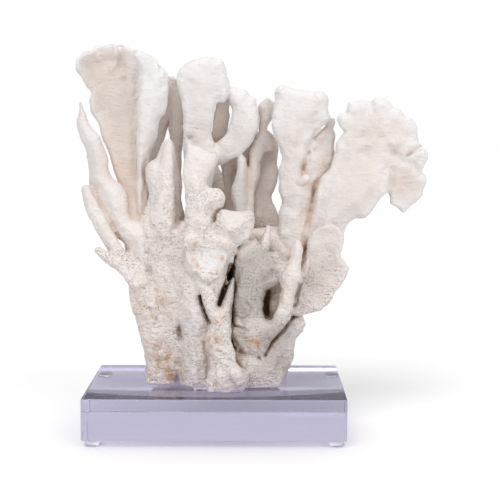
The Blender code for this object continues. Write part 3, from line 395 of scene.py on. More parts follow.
RIGHT_CENTRE_FAN = (
    Blade(outline=((36.2, 178), (36.6, 184.5), (38, 188), (41, 189), (44, 188), (46, 187), (50, 186.7),
                   (55, 185.2), (58, 185.4), (60, 184.5), (62, 185.2), (66, 185.2), (69, 183), (70.4, 180),
                   (70, 175), (71, 170), (71.6, 166.4), (69, 164), (65, 161), (61, 158.6), (59.6, 155),
                   (58, 151), (56.8, 148.3), (58.5, 146), (59.6, 143), (57.5, 139.6), (54.6, 137),
                   (54, 134), (57.5, 131), (61.5, 127), (61.5, 118), (60, 106), (58, 94), (50, 82),
                   (40, 84), (38.5, 96), (39.6, 108), (40.6, 115), (39.2, 124), (38.8, 134), (40.3, 141),
                   (40.6, 146), (38.4, 151.5), (36.2, 156), (34.8, 162), (35.4, 170)),
          y=(0, -6), turn=3, cup=-3, half=(7, 4.2), lip=3.8),
    Finger(((49, 86, 2, 9, 8), (49, 104, 2, 9, 7.5), (48, 124, 0, 7, 6), (47, 146, -2, 6, 5))),
    Finger(((53, 128, -5, 3, 3.4), (56.4, 130, -7, 2.6, 2.8))),
)

RIGHT_REAR_BLADE = (
    Blade(outline=((72.4, 169), (75.2, 165.2), (73, 162), (74.7, 158.5), (74, 152), (74.4, 146),
                   (74.8, 138), (76, 128), (77, 114), (72, 96), (62, 84), (54, 92), (53, 108), (53, 122),
                   (53.4, 134), (55, 143), (56.4, 150), (60.5, 156), (65, 160), (69, 163.4), (70.8, 167)),
          y=(6, 6), turn=3, cup=2, half=(6, 3.8), lip=3.2),
)

RIGHT_FAN = (
    Blade(outline=((61, 112), (62.5, 122), (66, 131), (71.5, 137.5), (74.4, 146), (75, 152), (77, 155),
                   (80, 158.6), (79.4, 161), (77, 163), (76, 166.5), (76.6, 170), (78.6, 171.5),
                   (81.6, 171), (82, 175), (83, 178.7), (86.5, 178.4), (90, 179.8), (95, 178.7),
                   (97, 176.8), (98, 179.6), (101, 180.5), (105, 180.3), (108, 178), (111, 175),
                   (115, 173.7), (119, 169.2), (122, 168.4), (125, 165), (126.7, 161), (126.5, 156),
                   (127.5, 152), (125, 147), (119, 142), (112.5, 138), (109.7, 133), (109.5, 127),
                   (108, 122), (105.5, 119.3), (103, 117), (100.5, 113.5), (98, 109), (95.5, 105.6),
                   (92.5, 104.5), (88, 105), (85, 103), (82, 99.5), (80.5, 95), (80, 88), (72, 84),
                   (62, 84), (56, 92), (59, 102)),
          y=(-1, -8), turn=6, cup=-2, half=(7, 4.4), lip=3.6),
    Blade(outline=((104, 142), (112, 150), (120, 153), (127, 153), (131, 149.5), (133.2, 147), (133.2, 142),
                   (131, 138), (128.6, 133.2), (132, 131), (133, 128), (131, 124), (130, 119), (127, 116.6),
                   (124, 114), (121, 110.4), (118.4, 107.6), (115, 111), (112, 113), (109.8, 114.6),
                   (109.4, 118.5), (106, 124), (103, 132)),
          y=(8, -4), turn=5, cup=1, half=(4, 3.6), lip=3.2),
    Finger(((68, 92, 2, 11, 8), (71, 110, 1, 10, 8), (80, 128, 0, 8, 6))),
    Finger(((124, 150, -2, 3, 3), (128, 148, -3, 3.4, 3), (130.5, 143, -2, 2.6, 2.6))),
    Finger(((90, 156, -6, 3.4, 2.6), (91, 157.5, -10, 2.4, 2))),
    Finger(((110, 151, -4, 4, 2.8), (111, 152, -8, 3, 2.2))),
)

RIGHT_CUP = (
    Blade(outline=((50, 52), (51, 62), (54, 74), (57, 84), (60, 96), (70, 101), (78, 99), (80.8, 94),
                   (80.6, 88), (79.3, 83.5), (78.4, 80.4), (81, 78), (83, 75.5), (84.7, 73), (83, 69),
                   (80, 64), (77, 59), (75, 54.4), (73, 51), (69.5, 48.5), (66, 46), (61, 44.2), (57, 43.2),
                   (52, 41), (46, 40), (44, 46)),
          y=(-2, -7), turn=-3, cup=4, half=(5.5, 4), lip=3.2),
    Finger(((46, 46, 0, 8, 8), (53, 58, 1, 9, 7), (60, 76, 1, 9, 6))),
)

BACK_LEFT_FAN = (
    Blade(outline=((-30, -9), (-42, -9), (-43, 20), (-46, 50), (-50, 76), (-55, 104), (-60, 124),
                   (-65.5, 140), (-68.5, 152), (-67, 162), (-62, 166), (-60, 172), (-55, 173), (-51, 168),
                   (-47, 173), (-42, 176), (-38.5, 170), (-36.5, 160), (-36, 146), (-37, 130), (-33, 108),
                   (-27, 86), (-24, 60), (-22, 30), (-22, -9)),
          y=(17, 44), turn=-10, cup=-5, half=(6, 3.8), lip=3.2),
    Finger(((-40, 62, 28, 6, 6), (-44, 78, 36, 5, 5), (-46, 92, 41, 4, 4), (-47, 104, 44, 2.8, 3))),
)

BACK_CENTRE_FAN = (
    Blade(outline=((4, -9), (-10, -9), (-12, 20), (-13, 50), (-14, 80), (-17, 100), (-19, 118), (-16.5, 131),
                   (-18, 141), (-13, 149), (-7, 151), (-2, 145), (3, 134), (8, 134), (11, 141), (12, 148),
                   (18, 151), (23, 147), (24, 138), (28, 130), (25, 112), (20, 90), (18, 60), (16, 30),
                   (15, -9)),
          y=(17, 46), turn=4, cup=-6, half=(6.5, 4), lip=3.4),
    Finger(((6, 50, 30, 6, 6), (8, 64, 38, 5, 5), (5, 78, 44, 4, 4), (2, 88, 46, 2.8, 3))),
)

BACK_RIGHT_FAN = (
    Blade(outline=((16, -9), (20, 20), (26, 50), (34, 72), (41, 96), (45, 118), (46, 134), (48, 146),
                   (52, 157), (58, 163), (64, 162), (68, 155), (66, 146), (68, 137), (74, 133), (80, 137),
                   (87, 136), (92, 131), (94, 125), (90, 117), (82, 110), (76, 106), (68, 92), (58, 72),
                   (48, 50), (41, 24), (36, -9)),
          y=(17, 42), turn=8, cup=-6, half=(6, 3.8), lip=3.2),
    Finger(((38, 46, 26, 6, 6), (44, 60, 33, 5, 5), (48, 74, 38, 4, 4), (50, 84, 40, 3, 3))),
)

# Each piece of coral: its growths, and the branches of the model that it stands for
PIECES = (
    ("coral_base", (TRUNK, FRONT_STEM, RIGHT_PANEL, RIGHT_ARCH, FRONT_BLADE, FRONT_KNOB, LEFT_CONE),
     ("coral_trunk", "front_stem", "right_panel", "right_arch", "front_blade", "front_knob",
      "left_cone_blade")),
    ("coral_left", (LEFT_FAN, LEFT_EDGE_BLADE, LEFT_FINGERS, REAR_LEFT_BLADE),
     ("left_fan", "left_edge_blade", "left_fingers", "rear_left_blade")),
    ("coral_centre", (CENTRE_FAN, CURLED_LEAF, CENTRE_SLATS, REAR_PANEL, REAR_CREST),
     ("centre_fan", "curled_leaf", "centre_slats", "rear_panel", "rear_crest")),
    ("coral_right", (RIGHT_CENTRE_FAN, RIGHT_FAN, RIGHT_REAR_BLADE, RIGHT_CUP),
     ("right_centre_fan", "right_fan", "right_rear_blade", "right_cup")),
    ("coral_back", (BACK_LEFT_FAN, BACK_CENTRE_FAN, BACK_RIGHT_FAN),
     ("back_left_fan", "back_centre_fan", "back_right_fan")),
)

# The fans whose upper rims are knobbly
FANS = {
    "coral_left": (LEFT_FAN[0], LEFT_FAN[1]),
    "coral_centre": (CENTRE_FAN[0], CURLED_LEAF[0]),
    "coral_right": (RIGHT_CENTRE_FAN[0], RIGHT_FAN[0], RIGHT_FAN[1]),
    "coral_back": (BACK_LEFT_FAN[0], BACK_CENTRE_FAN[0], BACK_RIGHT_FAN[0]),
}

# Cuts into the front, or ridges where the depth is below zero: points along each, half width and depth
Groove = namedtuple("Groove", "path half deep")
GROOVES = (
    Groove(((-10.5, 55), (-9.5, 50), (-7, 43), (-4.5, 37)), 0.9, 7),
    Groove(((9, 74), (8, 67), (5, 59), (1.5, 49)), 1.6, 9),
    Groove(((-24, 34), (-23.6, 30), (-23.4, 26)), 1.6, 4),
    Groove(((49, 41), (44, 35), (40, 30), (35.5, 25), (33, 20), (31, 16)), 0.9, 4),
    Groove(((10, 50), (9, 42), (11, 36), (17, 34)), 0.8, 3),
    Groove(((63, 128), (62, 121), (61, 115)), 1.6, 1.6),
    Groove(((130, 148), (125, 146.5), (120, 145)), 0.9, 1.6),
    Groove(((97, 180), (97, 176), (98, 172)), 1.0, 0.8),
    Groove(((58, 146), (55.5, 141), (54, 136)), 1.2, 3),
    Groove(((-23.5, 37), (-23.2, 30), (-23, 22), (-22.5, 12)), 2.6, 2.0),
    Groove(((-20, 92), (-19.5, 84), (-17, 76), (-13, 71), (-8, 67), (-4, 65.5)), 1.7, -2.6),
    Groove(((-4, 65.5), (1, 69), (4.5, 75), (6.5, 82), (8, 91)), 2.0, -2.2),
    Groove(((-14, 67), (-9, 62), (-4, 60), (2, 63), (6, 69)), 1.6, 1.6),
    Groove(((9, 84), (10.4, 90), (9, 95)), 1.3, 2.0),
    Groove(((-7.4, 25), (-6.4, 17), (-5.6, 9), (-6.4, 2)), 0.9, 2.6),
    Groove(((33, 57), (31.5, 50), (32, 42)), 2.0, 7),
    Groove(((9, 31), (13, 24), (17.5, 17)), 1.0, 1.4),
    Groove(((0, 20), (6, 17), (11, 11), (12, 3)), 0.8, 1.3),
    Groove(((2, 12), (7, 8), (9, 1)), 0.8, 1.1),
    Groove(((-1, 34), (3, 27), (9, 22)), 0.8, 1.1),
    Groove(((11, 45), (15, 40), (20, 42), (22, 47), (19, 51)), 0.7, 1.6),
    Groove(((-43, 47), (-41, 41), (-38, 40), (-36, 44)), 0.8, 1.4),
    Groove(((6, 84), (8, 78), (6, 73)), 0.7, 1.2),
    Groove(((-2, 58), (2, 54), (2.5, 48)), 0.7, 1.2),
    Groove(((-49, 53), (-46, 45), (-42.5, 41), (-39, 47)), 1.1, -1.1),
    Groove(((-45, 43), (-42.5, 37.5), (-40.5, 38), (-39, 44)), 0.9, -1.0),
    Groove(((120.3, 144.4), (124, 148), (129.5, 151)), 1.3, 2.2),
    Groove(((112, 146), (118, 141), (124, 139), (129, 133)), 2.2, 1.8),
    Groove(((103, 140), (108, 146), (116, 150)), 3.0, 1.0),
    Groove(((40, 118), (50, 121), (60, 119)), 2.0, -0.8),
    Groove(((44, 112), (54, 108), (64, 112)), 2.4, 0.9),
    Groove(((62, 130), (64, 121), (63, 112)), 1.8, -1.2),
    Groove(((-58, 120), (-62, 140), (-66, 158), (-70, 172)), 4.0, 1.6),
    Groove(((-40, 98), (-38, 84), (-42, 70)), 2.5, 1.2),
    Groove(((-30, 100), (-30, 84), (-26, 70), (-20, 56)), 2.0, -1.1),
    Groove(((16, 76), (26, 74), (36, 72)), 2.0, 0.8),
    Groove(((12, 58), (20, 54), (28, 56)), 2.4, -0.9),
    Groove(((52.5, 63), (50.5, 55), (49.5, 49)), 1.2, 4),
    Groove(((-63.2, 214), (-62.6, 208), (-63, 202), (-66, 198)), 1.7, -1.8),
    Groove(((-71, 212), (-69.5, 206)), 1.5, -1.3),
    Groove(((-77, 209), (-74, 204)), 1.5, -1.2),
    Groove(((-60.5, 212), (-59.5, 204), (-59, 197)), 2.4, 2.0),
    Groove(((-49.5, 196), (-50.5, 170), (-51.5, 150), (-51.5, 130)), 2.6, 1.4),
    Groove(((109, 133), (107.6, 123), (101, 114), (97, 109), (92, 104.5)), 2.0, -1.6),
    Groove(((111.5, 136), (110.5, 127), (109, 121)), 1.8, 1.6),
)

# Round marks on the front, hollow or, below zero, raised: x, z, radius and depth
Dent = namedtuple("Dent", "x z radius deep")
DENTS = (
    Dent(-6.0, 81, 11.5, 6.0), Dent(-12.5, 85, 4.0, 1.2), Dent(8, 92, 2.2, 3),
    Dent(27, 14.5, 1.8, 4), Dent(15, 18.5, 1.8, 3), Dent(-17, 155, 2.2, 3), Dent(-9, 34, 2, 1.5),
    Dent(92.4, 156.3, 4.0, 2.4), Dent(111, 148, 3.4, 1.6), Dent(99.3, 171.4, 1.8, 1.0),
    Dent(104, 174, 1.7, 1.0), Dent(91.7, 145.5, 4.2, 1.9), Dent(104, 156, 3.0, 1.3),
    Dent(81, 151, 3.0, 1.0), Dent(52.3, 165, 2.4, 1.2), Dent(62, 170.3, 1.8, 1.3),
    Dent(43.7, 141, 2.6, 1.3), Dent(50, 150, 3.4, 1.2), Dent(-33, 188, 2.2, 1.0), Dent(-44, 176, 3.0, 0.9),
    Dent(-10, 180, 3.2, 0.8), Dent(-16, 190, 2.6, 0.7), Dent(-58.5, 194.5, 2.2, -3.0),
    Dent(-64, 207, 2.6, -1.2), Dent(-73, 206, 3.0, -1.0), Dent(-80, 203, 2.6, -0.8),
    Dent(43, 95, 3.2, -1.8), Dent(110.4, 152.6, 3.4, -1.8), Dent(127, 146, 2.8, -1.4),
    Dent(96, 152, 2.4, -1.0), Dent(41, 126, 2.4, -0.8), Dent(20, 92, 1.8, -1.4), Dent(2, 119, 2.2, -0.8),
    Dent(-3, 66, 2.4, -1.4), Dent(-15, 70, 2.2, -1.2), Dent(121, 160, 3.0, -1.3), Dent(113, 168, 3.0, -1.2),
    Dent(86, 172, 3.2, -1.3), Dent(78, 162, 2.6, -1.2), Dent(101, 177, 2.4, -1.0), Dent(65, 180, 3.6, -1.4),
    Dent(40, 184, 3.0, -1.2), Dent(52, 181, 3.0, -0.9), Dent(63, 148, 2.6, 1.4), Dent(66, 153, 2.2, 1.3),
    Dent(62, 155, 1.6, 1.3), Dent(69, 158, 1.8, 1.0), Dent(-36, 128, 2.4, 0.8), Dent(-13, 140, 2.6, 0.8),
    Dent(-62, 147, 3.2, -1.4), Dent(-75, 128, 3.0, -0.9), Dent(-45, 95, 3.4, -1.4), Dent(-50, 76, 3.2, 1.4),
    Dent(30, 46, 2.6, 1.0), Dent(21, 40, 2.6, 0.9), Dent(14, 68, 2.2, 0.8), Dent(33, 72, 2.6, -1.0),
    Dent(60, 60, 4.0, 1.2), Dent(70, 84, 4.0, 1.2), Dent(72, 62, 3.0, -1.0)
)

# Sandier parts of the front, partly sandy tone and partly painted shade in troughs and folds: x, z, radius,
# strength
SANDS_AND_SHADE = ((-63, 135, 10, 0.7), (-71, 193, 15, 1.0), (-66, 200, 10, 0.4), (-64, 172, 13, 0.9),
         (-60, 152, 11, 0.85), (-55, 132, 8, 0.75), (-50, 112, 7, 0.5), (116, 128, 9, 0.7),
         (126, 122, 8, 0.4), (102, 150, 15, 0.4), (92, 130, 16, 0.35), (116, 150, 8, 0.3),
         (48, 138, 8, 0.5), (44, 152, 6, 0.3), (68, 140, 8, 0.5), (64, 66, 13, 0.6), (68, 86, 10, 0.4),
         (54, 100, 12, 0.3), (-8, 158, 6, 0.4), (4, 150, 7, 0.3), (14, 160, 6, 0.3), (-37, 90, 6, 0.25),
         (-30, 118, 5, 0.3), (-76, 92, 8, 0.3), (2, 12, 6, 0.35), (-15, 20, 8, 0.3), (-38, 8, 9, 0.3),
         (22, 20, 9, 0.45))

# Whitest parts of the front: x, z, radius, strength
WHITES = ((-5, 78.5, 8, 1.6), (-17, 80, 4, 0.8), (6, 82, 4, 0.8), (-8, 67, 4, 0.7), (8, 14, 9, 0.7),
          (2, 30, 5, 0.5), (-16, 40, 7, 0.5), (-36, 36, 7, 0.4), (-50, 90, 8, 0.4), (-28, 84, 8, 0.5),
          (-13, 143, 7, 0.7), (-8, 116, 7, 0.6), (13, 98, 8, 0.5), (-42, 72, 9, 0.5), (-26, 60, 9, 0.4),
          (-12, 50, 6, 0.5), (-40, 190, 8, 0.6), (-40, 168, 7, 0.4), (-64, 128, 8, 0.5), (-80, 160, 8, 0.5),
          (50, 60, 5, 0.5), (47, 84, 5, 0.5), (38, 40, 5, 0.5), (-10, 195, 10, 0.5), (48, 178, 12, 0.5),
          (20, 172, 6, 0.4), (-80, 104, 6, 0.4), (8, 6, 6, 0.4), (-44, 122, 6, 0.3))

# Greyer parts of the front, partly weathered tone and partly painted shade, as on the crater's upper wall and
# the slats: x, z, radius, strength
GREYS_AND_SHADE = ((68, 76, 12, 0.6), (-74, 192, 14, 0.5), (-64, 168, 12, 0.3), (-13.5, 86.5, 4.0, 0.45),
         (20, 66, 13, 1.5), (28, 76, 11, 1.5), (18, 48, 11, 1.1), (34, 30, 10, 0.9), (17, 30, 7, 0.8),
         (42, 14, 11, 0.9), (30, 6, 9, 0.8), (46, 32, 7, 0.6), (10, 106, 7, 0.3), (60, 64, 10, 0.35),
         (66, 112, 14, 0.25), (52, 120, 12, 0.25), (24, 120, 9, 0.8), (30, 104, 9, 0.7), (15, 128, 9, 0.8),
         (-28, 165, 6, 0.5))

# Brown stains on the front: x, z, radius, strength
STAINS = ((-34, 13, 8.5, 1.1), (-29, 5, 7, 0.9), (-40, 24, 6, 0.6), (-2, 25, 5.5, 1.1),
          (24.5, 24.5, 5, 1.1), (1, 40, 5, 0.8), (41, 57, 6, 0.7), (-46, 46, 8, 0.55), (-34, 55, 9, 0.5),
          (-1, -1, 3, 0.6), (11, 4, 3, 0.3), (43, 9, 3.5, 0.5), (-7, 12, 3, 0.45), (-14.5, 78, 1.8, 0.8),
          (-12, 74.5, 1.6, 0.7), (3.6, 79.5, 1.8, 0.8), (0.4, 71.5, 1.6, 0.7), (-15.5, 88, 3, 0.4),
          (6.5, 88, 2, 0.6), (-21, 66, 3, 0.4), (-48, 60, 3, 0.35), (-10, 100, 2.4, 0.4), (-36, 96, 3, 0.3),
          (-30, 42, 5, 0.35), (-24, 78, 5, 0.3), (5, 139, 3, 0.5), (56, 152, 2.5, 0.35), (60, 118, 5, 0.15),
          (-27, 108, 3, 0.35))

SPOTS = (("stain", STAINS), ("grey", GREYS_AND_SHADE), ("sand_and_shade", SANDS_AND_SHADE), ("white", WHITES))


def linked(name, mesh):
    obj = bpy.data.objects.new(name, mesh)
    bpy.context.scene.collection.objects.link(obj)
    return obj


def evaluated_mesh(obj):
    """A plain copy of what the object's modifiers make of it."""
    bpy.context.view_layer.update()
    graph = bpy.context.evaluated_depsgraph_get()
    return bpy.data.meshes.new_from_object(obj.evaluated_get(graph))


def as_mesh(shape, name):
    """The shape as a mesh, with its bmesh let go."""
    mesh = bpy.data.meshes.new(name)
    shape.to_mesh(mesh)
    shape.free()
    return mesh


def remeshed(mesh, voxel, smoothing=0):
    """The mesh's closed shells fused into one skin of even squares."""
    worker = linked("worker", mesh)
    fuse = worker.modifiers.new("fuse", "REMESH")
    fuse.mode = "VOXEL"
    fuse.voxel_size = voxel * MM
    if smoothing:
        smooth = worker.modifiers.new("smooth", "SMOOTH")
        smooth.factor = 0.5
        smooth.iterations = smoothing
    result = evaluated_mesh(worker)
    bpy.data.objects.remove(worker)
    return result


def points_of(mesh):
    """The mesh's points in drawing millimetres, one row each."""
    flat = np.empty(len(mesh.vertices) * 3, np.float32)
    mesh.vertices.foreach_get("co", flat)
    return flat.reshape(-1, 3).astype(float) / MM


def normals_of(mesh):
    flat = np.empty(len(mesh.vertices) * 3, np.float32)
    mesh.vertices.foreach_get("normal", flat)
    return flat.reshape(-1, 3).astype(float)


def set_points(mesh, points):
    mesh.vertices.foreach_set("co", (points * MM).astype(np.float32).ravel())
    mesh.update()


def spread_from_eye(points):
    """Moves drawing positions to the depth that they stand at, along the eye's lines of sight."""
    scale = 1 + points[:, 1] / EYE_DISTANCE
    points[:, 0] = EYE_X + (points[:, 0] - EYE_X) * scale
    points[:, 2] = EYE_Z + (points[:, 2] - EYE_Z) * scale
    return points


def as_drawn(points):
    """Where each point is seen in the drawing: x and z."""
    scale = 1 + points[:, 1] / EYE_DISTANCE
    return np.column_stack((EYE_X + (points[:, 0] - EYE_X) / scale, EYE_Z + (points[:, 2] - EYE_Z) / scale))


def through(values, steps, closed=False):
    """A smooth run of values through the given ones."""
    rows = np.array(values, float)
    if closed:
        padded = np.vstack((rows[-1], rows, rows[:2]))
    else:
        padded = np.vstack((2 * rows[0] - rows[1], rows, 2 * rows[-1] - rows[-2]))
    run = []
    for before, a, b, after in zip(padded, padded[1:], padded[2:], padded[3:]):
        for t in np.arange(steps) / steps:
            run.append(0.5 * (2 * a + (b - before) * t + (2 * before - 5 * a + 4 * b - after) * t**2
                              + (3 * a - before - 3 * b + after) * t**3))
    return np.array(run if closed else run + [rows[-1]])


def line_distance(points, starts, ends):
    """How far each point lies from the nearest of the lines between the starts and the ends."""
    nearest = np.full(len(points), np.inf)
    for a, b in zip(starts, ends):
        d = b - a
        share = np.clip(((points - a) @ d) / max(d @ d, 1e-9), 0, 1)
        nearest = np.minimum(nearest, np.hypot(*(points - a - share[:, None] * d).T))
    return nearest


def rim_distance(points, loop):
    """How far each point lies from the outline, in the drawing plane."""
    return line_distance(points, loop, np.roll(loop, -1, axis=0))


def wobble(points, seed):
    """A slow unevenness in depth, so that no blade is flat."""
    shift = Vector([seed * step for step in SEED_SHIFT])
    slow = [noise.noise(Vector((x, 0.0, z)) / WOBBLE_SIZE + shift) for x, _, z in points]
    return np.array(slow) * WOBBLE_DEPTH


def outline_slab(loop):
    """A slab of even squares with this outline, lying flat."""
    shape = bmesh.new()
    rim = [shape.verts.new((x * MM, z * MM, -SLAB_HALF * MM)) for x, z in loop]
    edges = [shape.edges.new((a, b)) for a, b in zip(rim, rim[1:] + rim[:1])]
    bmesh.ops.triangle_fill(shape, edges=edges, use_beauty=True)
    grown = bmesh.ops.extrude_face_region(shape, geom=shape.faces[:], use_keep_orig=True)["geom"]
    lifted = [g for g in grown if isinstance(g, bmesh.types.BMVert)]
    bmesh.ops.translate(shape, verts=lifted, vec=(0, 0, 2 * SLAB_HALF * MM))
    bmesh.ops.recalc_face_normals(shape, faces=shape.faces)
    return remeshed(as_mesh(shape, "slab"), SLAB_VOXEL)


def blade_mesh(blade, seed):
    """A blade: its outline as a slab, given depth, dishing and a rounded rim."""
    loop = through(blade.outline, STEPS_PER_SPAN, closed=True)
    mesh = outline_slab(loop)
    points = points_of(mesh)
    flat = points[:, :2].copy()
    side = np.clip(points[:, 2] / SLAB_HALF, -1, 1)
    outline = np.array(blade.outline, float)
    low, high = outline.min(axis=0), outline.max(axis=0)
    across = (flat[:, 0] - (low[0] + high[0]) / 2) / ((high[0] - low[0]) / 2)
    up = np.clip((flat[:, 1] - low[1]) / (high[1] - low[1]), 0, 1)
    rim = rim_distance(flat, loop)
    half = blade.half[0] + (blade.half[1] - blade.half[0]) * up
    rounding = np.clip(rim / blade.lip, 0, 1)
    thick = blade.lip * np.sqrt(np.maximum(1 - (1 - rounding) ** 2, EDGE_BLUNTNESS))
    inner = np.clip((rim - blade.lip) / (THICKENING * blade.lip), 0, 1)
    thick += (half - blade.lip) * inner
    dish = np.clip(1 - rim / (DISHING * blade.lip), 0, 1) ** 2
    depth = blade.y[0] + (blade.y[1] - blade.y[0]) * up + blade.turn * across / 2
    depth -= blade.cup * dish + blade.bow * across**2 * up
    placed = np.column_stack((flat[:, 0], depth, flat[:, 1]))
    placed[:, 1] += wobble(placed, seed) + side * -thick
    set_points(mesh, spread_from_eye(placed))
    return mesh


def finger_rings(run):
    """The rings along a finger, closing in at its ends: centre, two directions and two half widths."""
    path = run[:, [0, 2, 1]]
    ahead = np.gradient(path, axis=0)
    ahead /= np.linalg.norm(ahead, axis=1)[:, None]
    across = np.column_stack((ahead[:, 2], np.zeros(len(run)), -ahead[:, 0]))
    across /= np.maximum(np.linalg.norm(across, axis=1), 1e-6)[:, None]
    facing = np.cross(across, ahead)
    rings = [(path[i], across[i], facing[i], run[i, 3], run[i, 4]) for i in range(len(run))]
    for end, sign in ((0, -1), (-1, 1)):
        centre, wide, deep, half_width, half_depth = rings[end]
        caps = []
        for turn in np.radians(ROUND_END_TURNS):
            shrink = np.cos(turn)
            reach = sign * np.sin(turn) * min(half_width, half_depth)
            caps.append((centre + ahead[end] * reach, wide, deep, half_width * shrink, half_depth * shrink))
        rings = caps[::-1] + rings if sign < 0 else rings + caps
    return rings


def next_ring(shape, ring):
    """Draws a ring of points out by one step, and returns the new ring in the same order."""
    edges = {e for v in ring for e in v.link_edges if e.other_vert(v) in ring}
    made = bmesh.ops.extrude_edge_only(shape, edges=list(edges))["geom"]
    following = {}
    for vert in (g for g in made if isinstance(g, bmesh.types.BMVert)):
        behind = next(e.other_vert(vert) for e in vert.link_edges if e.other_vert(vert) in ring)
        following[behind] = vert
    return [following[v] for v in ring]


def finger_mesh(finger, seed):
    """A finger: a ring drawn out from station to station, with round ends."""
    angles = np.arange(RING_SIDES) * 2 * np.pi / RING_SIDES
    shape = bmesh.new()
    ring = bmesh.ops.create_circle(shape, segments=RING_SIDES, radius=MM, cap_ends=True)["verts"]
    rings = finger_rings(through(finger.stations, STEPS_PER_SPAN))
    for number, (centre, wide, deep, half_width, half_depth) in enumerate(rings):
        if number:
            ring = next_ring(shape, ring)
        for vert, angle in zip(ring, angles):
            spot = centre + np.cos(angle) * half_width * wide + np.sin(angle) * half_depth * deep
            vert.co = Vector(spot) * MM
    bmesh.ops.contextual_create(shape, geom=ring)
    bmesh.ops.recalc_face_normals(shape, faces=shape.faces)
    mesh = as_mesh(shape, "finger")
    points = points_of(mesh)
    points[:, 1] += wobble(points, seed)
    set_points(mesh, spread_from_eye(points))
    return mesh


def grown_skin(growths, seed):
    """All of a piece's blades and fingers fused into one skin, in drawing millimetres."""
    shape = bmesh.new()
    for number, growth in enumerate(growths):
        make = blade_mesh if isinstance(growth, Blade) else finger_mesh
        shape.from_mesh(make(growth, seed + GROWTH_SEED_STEP * number))
    bmesh.ops.recalc_face_normals(shape, faces=shape.faces)
    return remeshed(as_mesh(shape, "joined"), SKIN_VOXEL, SMOOTHING)


def ramp(values, start, end):
    """0 before start and 1 past end, with a soft rise between."""
    t = np.clip((values - start) / (end - start), 0, 1)
    return t * t * (3 - 2 * t)


def field(points, size, seed, stretch=1.0):
    """Smooth unevenness from about -1 to 1, with lumps of this size, drawn out upwards by the stretch."""
    scaled = points / (size, size, size * stretch) + np.array(SEED_SHIFT) * seed
    return np.array([noise.noise(p) for p in scaled.tolist()])


def pit_field(points, size, seed):
    """1 in the middle of each of many small hollows, some of them left out, and 0 away from them."""
    scaled = points / size + seed * 3.7
    depth = np.empty(len(points))
    for i, p in enumerate(scaled.tolist()):
        distances, centres = noise.voronoi(p)
        there = noise.cell(centres[0] * 7.1) > PITS_LEFT_OUT
        depth[i] = max(0.0, 1 - distances[0] / PIT_RADIUS) if there else 0.0
    return depth


def path_distance(drawn, path):
    """How far each drawn point lies from a line through the path's points."""
    line = np.array(path, float)
    return line_distance(drawn, line, line[1:])


def rough_share(points):
    """How porous and worn the coral is: the lower parts are, the fans above are smooth."""
    drawn = as_drawn(points)
    left, right = FRONT_BLADES_ACROSS
    in_front = (drawn[:, 0] > left) & (drawn[:, 0] < right) & (points[:, 1] < FRONT_BLADES_BACK)
    top = np.where(in_front, ROUGH_FRONT_TOP, ROUGH_TOP)
    top = np.where(drawn[:, 0] > RIGHT_FROM, ROUGH_RIGHT_TOP, top)
    uneven = field(points, ROUGH_EDGE_SIZE, 3.0) * ROUGH_EDGE_REACH
    return 1 - ramp(drawn[:, 1] + uneven, top - ROUGH_FADE_BELOW, top + ROUGH_FADE_ABOVE)


def rim_share(points, fans):
    """1 on the rim of the fans, falling to 0 some way in."""
    share = np.zeros(len(points))
    drawn = as_drawn(points)
    for fan in fans:
        loop = through(fan.outline, STEPS_PER_SPAN, closed=True)
        top = max(z for x, z in fan.outline)
        upper = ramp(drawn[:, 1], top - RIM_FADE[0], top - RIM_FADE[1])
        share = np.maximum(share, upper * (1 - ramp(rim_distance(drawn, loop), 1.0, RIM_REACH)))
    return share


def shade_of_cut(deep):
    """How much painted shade a cut of this depth gets, 1 being darkest."""
    return min(1, max(0, deep - SHADE_FROM) / SHADE_SPAN)


def carve(points, normals):
    """Cuts the grooves and dents, and returns the painted shade that each point gets in the deeper cuts."""
    drawn = as_drawn(points)
    inside = (points[:, 1] > CUT_DEPTHS[0]) & (points[:, 1] < CUT_DEPTHS[1])
    facing = ramp(-normals[:, 1], *CUT_FACING) * inside
    cut_shade = np.zeros(len(points))
    shift = np.zeros(len(points))
    for groove in GROOVES:
        cut = np.exp(-(path_distance(drawn, groove.path) / groove.half) ** 2) * facing
        shift += cut * groove.deep
        # Deeper cuts get painted shade
        cut_shade = np.maximum(cut_shade, cut * shade_of_cut(groove.deep))
    for dent in DENTS:
        far = np.hypot(drawn[:, 0] - dent.x, drawn[:, 1] - dent.z)
        cut = np.exp(-(far / dent.radius) ** 2 * DENT_SHARPNESS) * facing
        shift += cut * dent.deep
        if dent.radius < SMALL_DENT:
            cut_shade = np.maximum(cut_shade, cut * shade_of_cut(dent.deep))
    points[:, 1] += shift
    return cut_shade


